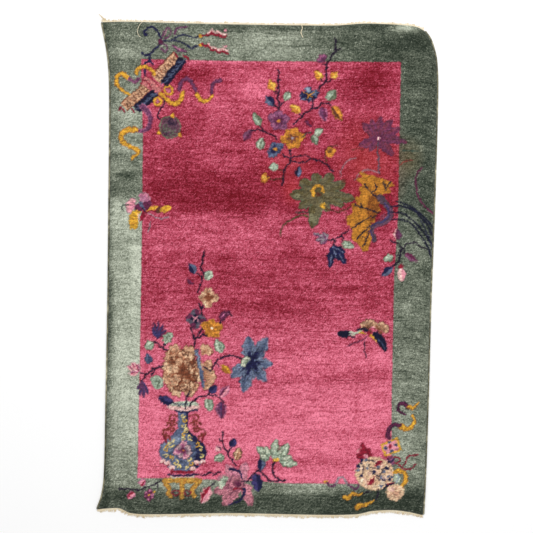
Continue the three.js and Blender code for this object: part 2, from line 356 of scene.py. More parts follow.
def ribbon(points, width, tip=None, wool="gold", shade="ochre"):
    # a band with darker edges and short darker folds across it
    yarnLine(shade, points, width * 1.14, tip=tip)
    yarnLine(wool, points, width * 0.82, tip=None if tip is None else tip * 0.7)
    path = smoothThrough(points)
    for k in range(2, len(path) - 2, 3):
        heading = path[k + 1] - path[k - 1]
        across = np.array([-heading[1], heading[0]]) / (np.hypot(*heading) + 1e-9) * width * 0.3
        yarnLine(shade, [path[k] - across * 0.2, path[k] + across * 1.2 + heading * 0.25], 0.8, strength=0.55)


def twig(points, width=1.7, tip=None, wool="night"):
    # a knotty twig: short straight lengths with small knots between them
    path = smoothThrough(points)
    steps = np.concatenate([[0], np.cumsum(np.hypot(*np.diff(path, axis=0).T))])
    count = max(int(steps[-1] / 3.4), 2)
    along = np.linspace(0, steps[-1], count + 1)
    bends = np.stack([np.interp(along, steps, path[:, 0]), np.interp(along, steps, path[:, 1])], axis=1)
    heading = np.gradient(bends, axis=0)
    aside = np.stack([-heading[:, 1], heading[:, 0]], axis=1) / (np.hypot(*heading.T)[:, None] + 1e-9)
    bends[1:-1] += (aside * 0.6 * np.sin(2.4 * np.arange(count + 1) + path[0, 0])[:, None])[1:-1]
    yarnLine(wool, bends, width * 0.78, tip=tip, smooth=False)
    for bend in bends[1:-1:2]:
        oval(wool, bend, width + 0.4, width)


def tasselledCords():
    # knotted cords with tassels over the upper left of the border
    yarnLine("navy", [(144.5, 31.5), (148, 28), (153, 27.5), (157, 31), (159.5, 35.5), (161.5, 39)], 2.2)
    oval("navy", (145.5, 34), 4, 3.4)
    yarnLine("navy", [(160.5, 43.5), (157, 47), (152.5, 51), (149, 54), (144.5, 55.5)], 2)
    oval("navy", (142.5, 53.5), 3.6, 3.6)
    for wool, points, width in (
        ("navy", [(149.5, 54.5), (149, 60.5), (145.5, 63), (144.5, 67.5), (145.5, 76.5)], 2),
        ("navy", [(149, 60.5), (152.5, 64.5)], 2),
        ("purple", [(162, 38), (164, 31), (168.5, 28.5), (171, 31.5), (169, 36), (165, 39)], 1.7),
        ("mauve", [(164.5, 35), (166.5, 31)], 1),
    ):
        yarnLine(wool, points, width)
    yarnLine("purple", [(174.5, 34), (177, 29), (182, 27.5), (187.5, 27)], 2.2, tip=1.6)
    yarnLine("purple", [(161, 48), (164.5, 52), (167.5, 49), (166, 45), (162, 44)], 1.7)
    yarnLine("purple", [(173, 45.5), (178, 50), (182, 50.5), (186.5, 51.5)], 2.4, tip=2)
    for wool, points, width in (
        ("mauve", [(175, 47), (181, 49.5)], 1),
        ("navy", [(163, 41.5), (170.5, 40.5), (173, 39), (180, 35.5), (187, 35.5), (193.5, 38.5),
         (199.5, 36)], 1.5),
        ("navy", [(174, 40.5), (180, 41.5), (186, 44.5), (190.5, 48.5), (193.5, 47.5), (199.5, 45)], 1.5),
    ):
        yarnLine(wool, points, width)
    oval("plum", (160.5, 41.5), 5.5, 4.5)
    routes = (
        (36.5, ((202.5, 36), (206, 34.5), (208, 35.8), (211.5, 32.5), (215, 35), (219, 34.2), (222, 36.5),
         (226.5, 36.5))),
        (45, ((202, 44), (205, 46.5), (208, 45.5), (211, 50), (215, 49.5), (218, 53), (222, 50.8),
         (228, 53.5))),
    )
    for knotY, route in routes:
        oval("gold", (200.5, knotY), 3.6, 3.6)
        yarnLine("blush", [(x, y - 2.4) for x, y in route[2:]], 2, smooth=False)
        yarnLine("crimson", route, 2.6, tip=1.8, smooth=False)
    oval("rose", (225.5, 30), 4, 3)
    oval("rose", (225.5, 46.5), 4, 3)


def roll(wool, start, end, width):
    # a straight roll of one wool
    start, end = np.array(start, float), np.array(end, float)
    heading = (end - start) / np.hypot(*(end - start))
    half = np.array([-heading[1], heading[0]]) * width / 2
    patch(wool, [start - half, end - half, end + half, start + half], smooth=False)


def pictureScroll():
    # two rolls tied across each other: a crooked fret on the pale one, bars on the dark one
    paleHalves = (((177.2, 56.5), (155.5, 79), 11.5, 4), ((146.5, 87), (124, 107), 9.5, 4))
    darkHalves = (((183.3, 59), (163.5, 83.8), 8.6, 6), ((156.2, 92.5), (136.2, 109.5), 9.6, 6))
    for start, end, width, frets in paleHalves:
        roll("bark", start, end, width + 1)
        roll("fawn", start, end, width - 1)
        start, end = np.array(start), np.array(end)
        step = (end - start) / frets
        side = np.array([-step[1], step[0]]) / np.hypot(*step) * width * 0.3
        for k in range(frets):
            hook = ((0.1, 1), (0.1, -0.9), (0.55, -0.9), (0.55, 0.3), (0.35, 0.3))
            yarnLine("umber", [start + step * (k + u) + side * v for u, v in hook], 1.1, smooth=False,
                     strength=0.9)
            yarnLine("bark", [start + step * (k + 0.75) + side * v for v in (1, 0)], 1, strength=0.8)
    for start, end, width, bars in darkHalves:
        roll("ink", start, end, width)
        for k in range(bars):
            x, y = between(np.array(start), np.array(end), (k + 0.5) / bars)
            yarnLine("slate", [(x - 3.6, y + 1.4), (x, y + 0.6), (x + 3.4, y - 1.6)], 1.3, strength=0.85)
    for bar in (((174.5, 52.5), (177.5, 57)), ((183.5, 55), (186, 57), (189, 60.5)),
                ((119, 110.5), (121, 107.5), (124.5, 112.5)), ((132, 109.5), (134, 112.5))):
        yarnLine("crimson", bar, 1.9)
    knot = ((145, 75.5), (164.5, 87.5), (160.5, 93.5), (141, 84))
    patch("coral", knot, smooth=False)
    for line in (((144, 80.5), (148, 83), (152, 87.5)), ((151, 79), (156, 83.5), (162, 88.5)),
                 (knot[0], knot[3]), (knot[1], knot[2]), ((148, 77.5), (152.5, 77))):
        yarnLine("crimson", line, 1.1, smooth=False)


def upperRibbons():
    # gold and purple ribbons that curl round the scroll
    ribbon([(127.5, 77), (122, 73.5), (117, 77), (117, 84), (121, 89.5), (129.5, 95)], 4.4, tip=3)
    ribbon([(136.5, 72.5), (138, 69), (142, 67), (146.5, 67), (152, 70), (154.5, 74)], 3.8)
    for points, width, shade in (
        ([(129.5, 79), (134.5, 82), (138.5, 79)], 3, "mauve"),
        ([(179, 89.5), (180.5, 83.5), (186, 78.5), (191.5, 82), (197.5, 93.5)], 3.4, "plum"),
        ([(212, 92.5), (212.5, 86), (215, 81.5), (220.5, 80.5)], 3.2, "plum"),
    ):
        ribbon(points, width, wool="purple", shade=shade)
    ribbon([(161, 94), (166, 99), (174.5, 104), (180.5, 100.5), (183, 92)], 3.8)
    ribbon([(197, 94.5), (199.5, 98.5), (204, 101.5), (209, 99.5), (212.5, 95.5)], 4.2, tip=2.6)
    for centre, size in (((168.5, 90), 8.5), ((157.5, 101.5), 7)):
        ring = [(centre[0] + size / 2 * np.cos(t), centre[1] + size / 2 * np.sin(t))
                for t in np.linspace(0, 6.1, 12)]
        yarnLine("ochre", ring, 2.6)
        yarnLine("gold", ring, 1.6)
        curl("mauve", centre, size * 0.22, 40, width=1.2)
    ribbon([(142.5, 107), (148, 112.5), (150.5, 119.5), (148.5, 127.5), (143, 131), (136.5, 130.5)], 5.6,
           tip=3.4, wool="purple", shade="mauve")
    yarnLine("plum", [(150, 113), (152.5, 119), (151, 126.5), (147.5, 130.5)], 1.2)
    ribbon([(135, 129.5), (128, 130), (122, 134), (121.5, 139.5), (126, 144.5), (133, 147.5), (138, 150.5),
           (137, 154.5), (131, 159)], 5.4, tip=3)
    twig([(163, 98.5), (164.5, 102), (161, 108), (158, 112.5), (158, 117.5), (160.5, 119)], 1.6)
    for wool, width, height, strength in (
        ("moss", 22, 23, 0.9),
        ("plum", 19, 20, 0.7),
        ("pewter", 15, 17, 0.3),
    ):
        oval(wool, (170, 127), width, height, strength=strength)
    for k in range(9):
        # faint swirls on the disc
        spot = (170 + rng.uniform(-6, 6), 127 + rng.uniform(-7, 7))
        curl("night" if k % 2 else "moss", spot, 2.6, 40 * k, width=1.3, strength=0.7)
    for dot in ((172.5, 115.5), (159, 132.5), (179.5, 135)):
        oval("ochre", dot, 4.6, 4.4)
        oval("gold", dot, 3.2, 3)


def leftButterfly():
    ruffle((135.5, 207), 200, 9, 75, "rose", "blush", "mauve")
    ruffle((141, 204), 300, 11, 45, "mauve", "rose", "smoke")
    patch("plum", [(135, 206.5), (140, 203), (142.5, 209), (137.5, 213)])
    patch("plum", [(143, 203), (149.5, 200.5), (152, 204), (147, 209), (143, 208)])
    yarnLine("slate", [(140.5, 203), (144, 209)], 2.6)
    yarnLine("ink", [(142.5, 208), (146, 212)], 1.6)
    patch("gold", [(130, 214), (137, 210.5), (141, 211.5), (138.5, 216), (138, 226), (134, 229.5),
          (130, 227)])
    yarnLine("ochre", [(132, 219), (136, 219.5)], 1, strength=0.7)
    yarnLine("ochre", [(131.5, 223.5), (136, 224)], 1, strength=0.7)
    patch("crimson", [(142, 212), (144.5, 213), (143, 220), (140, 221)])
    yarnLine("blush", [(138.6, 214), (139, 219)], 1)
    patch("gold", [(146.5, 211), (150, 207.5), (157, 205.5), (157, 209), (150, 211.5)])
    yarnLine("crimson", [(146, 212.5), (152, 211), (156, 211.5)], 1.8)
    patch("umber", [(156, 211.5), (160, 206), (161.5, 207), (159.5, 213)])
    patch("gold", [(160, 211), (163, 206.5), (169, 205), (171.5, 208), (166, 212.5)])
    yarnLine("ochre", [(163, 210), (169, 207)], 1, strength=0.7)
    yarnLine("pine", [(127.5, 204.5), (123.5, 204.5), (122, 207.5), (123.5, 211)], 1.5, tip=1)
    yarnLine("smoke", [(147, 213), (151, 215), (156, 217.5), (162, 218.5), (169, 216.5)], 1)
    yarnLine("smoke", [(150.5, 222), (148, 232)], 1)


def vaseSpray():
    # the tall branch that rises from the vase
    for points, width in (
        ([(204.3, 251.5), (203, 258), (201.5, 264), (202, 270), (203.5, 273.5), (207, 272.5)], 1.9),
        ([(203, 274), (201.5, 277), (202, 282), (199.5, 287), (197.5, 292)], 1.9),
        ([(201.5, 276.5), (197.5, 273.5)], 1.5),
    ):
        twig(points, width)
    leaf("navy", (195, 274), (188.5, 263.5), 8, shade="slate", bend=1)
    leaf("sage", (205.5, 279.5), (212, 270.5), 8.5, shade="celadon", vein="moss")
    leaf("plum", (193.5, 284), (187, 277.5), 6, shade="crimson")
    flower("tan", (208.5, 297), 10.5, 4, 9.5, turn=-90, shade="sand", heart="bark", heartSize=3, inner="bark",
           vein="bark")
    twig([(198.5, 303.5), (201, 308), (202, 314.5)], 1.8)
    twig([(203.5, 304.5), (201, 309)], 1.3)
    flower("pewter", (195.5, 318.5), 10.5, 4, 9, turn=-90, shade="plum", heart="rose", heartSize=1.6,
           inner="ink")
    for dx in (-2.4, 2.4):
        yarnLine("rose", [(195.5 + dx, 316.3), (195.5 - dx, 320.6)], 0.9)
    patch("plum", [(221.5, 312), (226, 310.5), (231, 313), (227, 316.5), (224, 320.5), (220.5, 321.5),
          (219, 316)])
    yarnLine("mauve", [(221.5, 317), (225, 313.5), (229, 313.8)], 1)
    twig([(229, 313), (232, 316.5)], 1.4)
    twig([(220.5, 321), (220, 325)], 1.6)
    flower("marigold", (212, 328.5), 10.8, 5, 9, turn=-90, shade="amber", heart="cream", heartSize=2.6,
           inner="ochre", vein="ochre")
    for points, width in (
        ([(191, 327.5), (192, 333), (194.8, 338.5), (194, 347)], 2),
        ([(202, 328.5), (199.5, 333), (195.5, 338.5)], 1.7),
        ([(207, 336), (203.5, 334.8), (201, 336.5), (196, 338.5)], 1.7),
    ):
        twig(points, width)
    for tip in ((151.5, 327), (153.5, 322.5), (158.5, 321), (163.5, 324), (166, 329.5)):
        leaf("indigo", (157.5, 338.5), tip, 3.6, shade="plum", blunt=0.7)
    twig([(152, 342), (157.5, 342.5), (160, 346), (163, 348.5), (169.5, 350.5)], 1.7)
    twig([(163, 348), (165, 342)], 1.4)
    leaf("sage", (163.5, 343), (172, 332.5), 9.5, shade="celadon", vein="moss", frill=0.2, rim="moss")
    leaf("sage", (153.5, 342.5), (145, 348.5), 9, shade="celadon", vein="moss", rim="moss")
    leaf("celadon", (222.5, 352.5), (215.5, 340), 9.5, shade="sage", vein="moss", rim="moss")
    leaf("slate", (150, 364), (147, 354), 7.5, shade="storm", rim="storm")


def peony():
    # the great ruffled flower over the vase, with its side buds and star flower
    oval("bark", (183.6, 370.6), 27, 43)
    fawns = ("fawn", "tan", "sand")
    rings = ((12, 9, 16, 12.5), (9, 6.5, 10.5, 10.5), (6, 3, 5, 8))
    for count, offX, offY, reach in rings:
        for k in range(count):
            turn = 360 * (k + rng.uniform(-0.2, 0.2)) / count + 11 * count
            way = np.array([np.cos(np.radians(turn)), np.sin(np.radians(turn))])
            foot = np.array([183, 371]) + way * np.array([offX, offY]) * rng.uniform(0.84, 1.0)
            lean = rng.uniform(-22, 22)
            ruffle(foot, turn + lean, reach * rng.uniform(0.85, 1.1), 40, fawns[k % 3], fawns[(k + 1) % 3],
                   "bark")
    for k in range(34):
        # dark hollows between the petals
        spot = (183 + rng.uniform(-13, 13), 371 + rng.uniform(-19, 19))
        curl("umber" if k % 3 else "bark", spot, rng.uniform(1.8, 3), rng.uniform(0, 360), width=1.2,
             strength=0.9)
    for foot, turn, reach in (((202, 356), -60, 12), ((203, 352), -10, 9), ((203, 362), 20, 9),
                              ((202.5, 377), 0, 13), ((203, 375), -45, 10), ((203, 381), 45, 10)):
        ruffle(np.array(foot, float), turn, reach, 42, fawns[reach % 3], "sand", "bark")
    yarnLine("slate", [(196.5, 351), (198.5, 357), (199, 364), (200.5, 370), (202, 376), (203, 386)], 3.8,
             tip=3)
    yarnLine("mist", [(196.8, 352), (198.8, 360), (200.5, 368)], 1.3)
    yarnLine("storm", [(200, 372), (202, 384)], 1.5)
    for points, width in (
        ([(163.5, 367), (157, 367.5), (152, 369.5), (147, 374), (140.5, 373)], 1.7),
        ([(154.5, 369), (151.5, 375.5)], 1.5),
        ([(146.5, 374), (141.5, 381)], 1.6),
    ):
        twig(points, width)
    for tip, width in (((127, 366), 6), ((131, 362), 6), ((136.5, 362.5), 5.5), ((129, 374), 6)):
        leaf("rose", (138.5, 372), tip, width, shade="mauve", vein="crimson", rim="blush")
    for tip in ((136.5, 390), (139.5, 396), (144, 398.5), (148, 394)):
        leaf("indigo", (142.5, 381.5), tip, 3.2, shade="purple", blunt=0.6)
    patch("sage", [(152, 377), (158, 375.5), (163, 380), (163.5, 385), (159, 389.5), (153.5, 387.5),
          (151.5, 382)])
    yarnLine("celadon", [(153, 378), (158, 377), (161.5, 381), (161, 386)], 1.4)
    yarnLine("moss", [(155, 381), (158.5, 383), (157, 387.5)], 1.3)
    twig([(203.5, 367), (209.5, 370.5), (213, 368), (215, 363), (219.5, 359), (225, 356.5), (235, 356),
         (244, 359.5)], 1.7)
    twig([(215.5, 363), (219, 366)], 1.3)
    leaf("gold", (221.5, 365), (230.5, 373.5), 7, shade="ochre", rim="ochre")
    star = np.array([250.5, 362.5])
    tips = (((248, 336.5), 14), ((268, 337), 13), ((273, 364), 11), ((267, 382), 12), ((243, 393), 13),
            ((230.5, 377.5), 11), ((232, 370), 6))
    for tip, width in tips:
        leaf("slate", star, tip, width, shade="storm", blunt=0.72, frill=0.28, lobes=7, rim="mist")
        crinkle("mist", star, tip, width, 4, strength=0.5)
    for tip, width in tips[:-1]:
        leaf("navy", star, between(star, np.array(tip), 0.46), width * 0.34, blunt=0.8, frill=0.2)
        crinkle("ink", star, between(star, np.array(tip), 0.66), width, 2, strength=0.7)
    for turn in (160, 215, 270):
        ruffle(np.array([247, 362.5]), turn, 5.5, 50, "celadon", "cream", "moss")


def vase():
    # its two sides are mirror images, and the right one lies in shadow
    middle = 182.8
    profile = {
        "down": (410, 428, 433, 438.5, 444.5, 451, 458, 464, 471),
        "half": (5.4, 5, 8, 15, 21.6, 24, 22.8, 18, 11),
    }
    down = np.linspace(profile["down"][0], profile["down"][-1], 40)
    half = np.interp(down, profile["down"], profile["half"])
    left, right = np.stack([middle - half, down], axis=1), np.stack([middle + half, down], axis=1)
    shadow = np.stack([middle + half * 0.55, down], axis=1)
    patch("slate", np.concatenate([right, left[::-1]]), smooth=False)
    patch("navy", np.concatenate([right, shadow[::-1]]), smooth=False)
    oval("mist", (171, 443), 19, 8, turn=-32, strength=0.8)
    for k in range(70):
        # uneven dyeing of the body
        angle, reach = rng.uniform(0, 2 * np.pi), np.sqrt(rng.uniform(0, 1))
        spot = (182 + 21 * reach * np.cos(angle), 451.5 + 14.5 * reach * np.sin(angle))
        shades = ("ink", "storm", "slate") if spot[0] > 190 else ("mist", "storm", "slate")
        oval(shades[k % 3], spot, rng.uniform(2, 4.5), rng.uniform(1.2, 2.4), turn=rng.uniform(-30, 30),
             strength=0.55)
    oval("blush", (183.5, 406.6), 34, 8.6)
    oval("celadon", (184, 403.8), 30, 5.4)
    yarnLine("storm", [(173, 402.5), (180, 404.5), (188, 403.5)], 1)
    yarnLine("navy", [(175, 411), (184, 412), (197, 410)], 1.5)
    scrolls = (
        ((183, 416), 2.2, 200, 1),
        ((184.8, 420.5), 2.2, 20, -1),
        ((184, 426), 2.4, 160, 1),
        ((186, 430.5), 2.6, 330, 1),
        ((184, 434), 2.2, 120, -1),
        ((190, 438), 2.8, 250, 1),
        ((182.5, 438.5), 2.2, 60, 1),
        ((170.5, 445), 3.4, 200, 1),
        ((166.5, 448.5), 2.8, 90, -1),
        ((173, 441.5), 1.8, 20, 1),
        ((197.5, 444.5), 3.2, 300, -1),
        ((200.5, 448.5), 2.4, 80, 1),
        ((165.5, 455.5), 2.6, 20, 1),
        ((171.5, 457.5), 2.6, 240, -1),
        ((176.5, 462.5), 2.8, 100, 1),
        ((179.5, 466.5), 2, 0, 1),
        ((189, 458.5), 2.4, 200, 1),
        ((191.5, 463.5), 2.4, 20, -1),
        ((187, 467), 1.8, 140, 1),
        ((202, 456), 2, 90, 1),
    )
    for at, size, turn, hand in scrolls:
        curl("straw" if hand > 0 else "gold", at, size, turn, width=1.2, hand=hand)
    for k in range(7):
        turn = 51.4 * k + 14
        ruffle(np.array([183, 450.5]), turn, 8.4 + 1.2 * np.sin(2.7 * k), 27, "mauve" if k % 2 else "smoke",
               "blush", "plum")
    oval("plum", (183, 450.5), 6, 5.4)
    oval("ochre", (183.4, 450), 2, 1.8)
    for spot in ((162.5, 461.5), (168, 463.5), (171.8, 468), (193, 468.8), (197, 462.5), (202.5, 461.8)):
        # cloud feet, each with a dark seed
        oval("blush", spot, 6, 5.4)
        yarnLine("crimson", [(spot[0] - 1, spot[1] + 2.6), (spot[0] + 1, spot[1] + 1.4)], 1.4)
    patch("crimson", [(171.5, 470.8), (193, 470.8), (194.5, 473.4), (170.5, 473.4)], smooth=False)
    yarnLine("navy", [(168, 474.5), (175, 475.2), (190, 475), (197, 474)], 1.8)
    yarnLine("celadon", [(171, 477), (182, 477.6), (194, 476.6)], 1.3)
    for side in (-1, 1):
        # lacy handles, one the mirror image of the other
        loops = (((12, 418.5), 3.8, 100), ((15.5, 426), 3.4, 250), ((19, 432.5), 3.2, 60),
                 ((12, 430), 2.6, 180), ((16.5, 437.5), 2.8, 330), ((9, 424), 2.2, 20))
        for (x, y), size, turn in loops:
            curl("russet", (184 + side * x, y), size * 1.12, turn if side > 0 else 180 - turn, width=1.9,
                 hand=side)
        yarnLine("russet", [(184 + side * x, y) for x, y in ((5.5, 416), (9, 415), (12, 414.5))], 1.4)
        yarnLine("crimson", [(184 + side * x, y) for x, y in ((20, 436.5), (17.5, 441.5))], 1.6)
    twig([(185.5, 408), (186, 401), (187.5, 396), (190, 391)], 2)
    leaf("navy", (173.5, 402), (158, 396.5), 9, shade="indigo", bend=-1.5, frill=0.2)
    for points, width in (
        ([(173, 402.5), (177, 404), (179.5, 407)], 1.5),
        ([(189.5, 407), (193, 401.5), (197, 398), (203.5, 396), (212, 395), (219, 397), (224, 402)], 1.7),
        ([(209, 395.5), (209.3, 391)], 1.4),
    ):
        twig(points, width)
    leaf("navy", (208.5, 392), (216.5, 385.5), 8, shade="indigo", bend=1)
    leaf("plum", (220.5, 397), (229, 385.5), 7.5, shade="rose", rim="mauve")
    leaf("sage", (207.5, 398), (210.5, 411.5), 9.5, shade="celadon", vein="moss", rim="moss")
    leaf("plum", (221, 401.5), (221.5, 419), 11, shade="purple", vein="indigo", rim="mauve")
    # the stand
    patch("brass", [(163.3, 477.8), (200.5, 477.8), (199.5, 483), (165, 483)], smooth=False)
    for k in range(9):
        oval("ochre", (166 + 4 * k, 481.5 + 0.8 * np.sin(2.2 * k)), 2.4, 1.6, strength=0.8)
    legs = (
        ((164.5, 481), (167.5, 485.5), (169.5, 489), (168.5, 493), (171, 496)),
        ((182, 481), (182.3, 488), (181.6, 493), (182, 497.5)),
        ((199.5, 481), (195.5, 485.5), (192.8, 489), (192.5, 493), (195, 496)),
    )
    for leg in legs:
        ribbon(list(leg), 4.6, tip=4, wool="brass")
    for line in (((171.5, 492.5), (175.5, 495.5), (180, 492.5)), ((184, 492.5), (188, 495.5), (191.5, 491.5)),
                 ((173, 491), (177, 490), (180, 491.5)), ((184.5, 491), (188, 490), (190.5, 491))):
        yarnLine("crimson", line, 1.1)


def lowerSprigs():
    # twigs, buds and the mauve lotus beside the vase's foot
    twig([(120, 488.5), (130, 488.5), (136, 489.5), (141.5, 489), (149.5, 486), (155, 483.5), (161, 480)],
         1.7)
    twig([(158, 483), (157.5, 489)], 1.3)
    leaf("rose", (139.5, 485.5), (145.5, 479), 6.5, shade="crimson", rim="mauve")
    leaf("rose", (134.5, 491.5), (128, 498), 6.5, shade="crimson", rim="mauve")
    flower("plum", (149.5, 494.5), 6, 6, 5, turn=30, shade="mauve", heart="gold", heartSize=2.2)
    oval("gold", (154.5, 491.5), 2.4, 2)
    for points, width in (
        ([(197, 474.5), (204, 475), (211, 472.5), (214, 474), (221, 472.5)], 1.7),
        ([(222.5, 431.5), (222.3, 437), (222.8, 444), (225.5, 449), (227.8, 454.5), (231, 459), (236, 465.5)],
         1.7),
        ([(222.5, 441.5), (219, 439)], 1.3),
        ([(227.8, 453.5), (231.5, 448.5)], 1.5),
    ):
        twig(points, width)
    leaf("navy", (231, 447), (235, 438.5), 7.5, shade="indigo")
    leaf("blush", (221, 450.5), (215.5, 446), 6, shade="plum", rim="rose")
    leaf("sage", (224.5, 456), (214, 460.5), 8.5, shade="celadon", vein="moss", rim="moss")
    leaf("sand", (236, 460.5), (240, 447.5), 8.5, shade="tan", vein="bark", rim="umber")
    petals = (((226, 464), 10), ((246, 461.5), 10), ((217, 477.5), 12), ((213.5, 491.5), 11),
              ((222.5, 505), 12))
    for tip, width in petals:
        wool = "thrift" if tip[1] < 480 else "mallow"
        leaf(wool, (239.5, 485.5), tip, width, blunt=0.5, frill=0.16, rim="rose")
        crinkle("rose", (239.5, 485.5), tip, width, 5)
        yarnLine("plum", [(237, 485), between(np.array([239.5, 485.5]), np.array(tip), 0.6)], 0.9,
                 strength=0.7)
    for tip, width in (((252, 506), 10), ((252.5, 489.5), 6)):
        leaf("mallow", (243, 484.5), tip, width, blunt=0.5, frill=0.16, rim="rose")
        crinkle("rose", (243, 484.5), tip, width, 5)
    for turn in range(0, 360, 72):
        ruffle(np.array([236.5, 483]), turn + 20, 7, 42, "mallow", "rose", "plum")
    oval("plum", (238, 484), 4.5, 4)
    yarnLine("crimson", [(233.5, 489), (238, 487.5), (242, 489.5)], 1.6)
    yarnLine("navy", [(230.5, 469), (236, 469.8), (240.5, 473), (242, 478)], 2.8, tip=2)
    yarnLine("navy", [(245, 488.5), (243.5, 495.5), (239, 501), (229, 504.5)], 3.2, tip=1.6)
    ruffle(np.array([226, 484]), 190, 7.5, 60, "celadon", "cream", "sage")
    ruffle(np.array([226, 483]), 250, 6.5, 50, "sage", "celadon", "moss")
    leaf("rose", (210.5, 486), (201, 503.5), 10, shade="crimson", frill=0.16, rim="blush")
    twig([(215, 482), (210.5, 486)], 1.4)
    twig([(241, 482), (247, 480.5), (251, 477), (254.5, 472.5), (260.5, 471.5), (265.5, 476.5), (271.5, 481),
         (281, 480)], 1.8)
    leaf("navy", (256, 473.5), (258.5, 491), 11, shade="indigo", frill=0.18, blunt=0.7)
    leaf("navy", (260.5, 471), (261.5, 456), 8, shade="slate", bend=1)


def paleLotus():
    # separate rounded petals with light rims, round a gold cup
    petals = (((269, 458.5), (257, 446), 9.5), ((272.5, 458), (277, 438.5), 9),
              ((279, 459), (288.5, 443), 9.5), ((279, 460.5), (298, 464.5), 10),
              ((279.5, 459.5), (292, 456), 6), ((270, 456.5), (264.5, 446), 6),
              ((275.5, 457), (282.5, 449), 5.5), ((268, 460), (259.5, 454), 6.5))
    for root, tip, width in petals:
        leaf("sage", root, tip, width, blunt=0.72, frill=0.14, rim="moss")
        crinkle("celadon", root, tip, width, 4)
        crinkle("cream", root, tip, width * 0.8, 2, strength=0.5)
    leaf("sage", (276, 461), (276, 451.5), 7, blunt=0.5, rim="celadon")
    oval("gold", (276, 460.2), 6.5, 4.2)
    oval("saffron", (275.4, 459.4), 3.6, 2.2)
    twig([(275, 462.5), (272.5, 467.5), (273, 473), (276.5, 478), (281, 480), (286, 480.5)], 1.8)


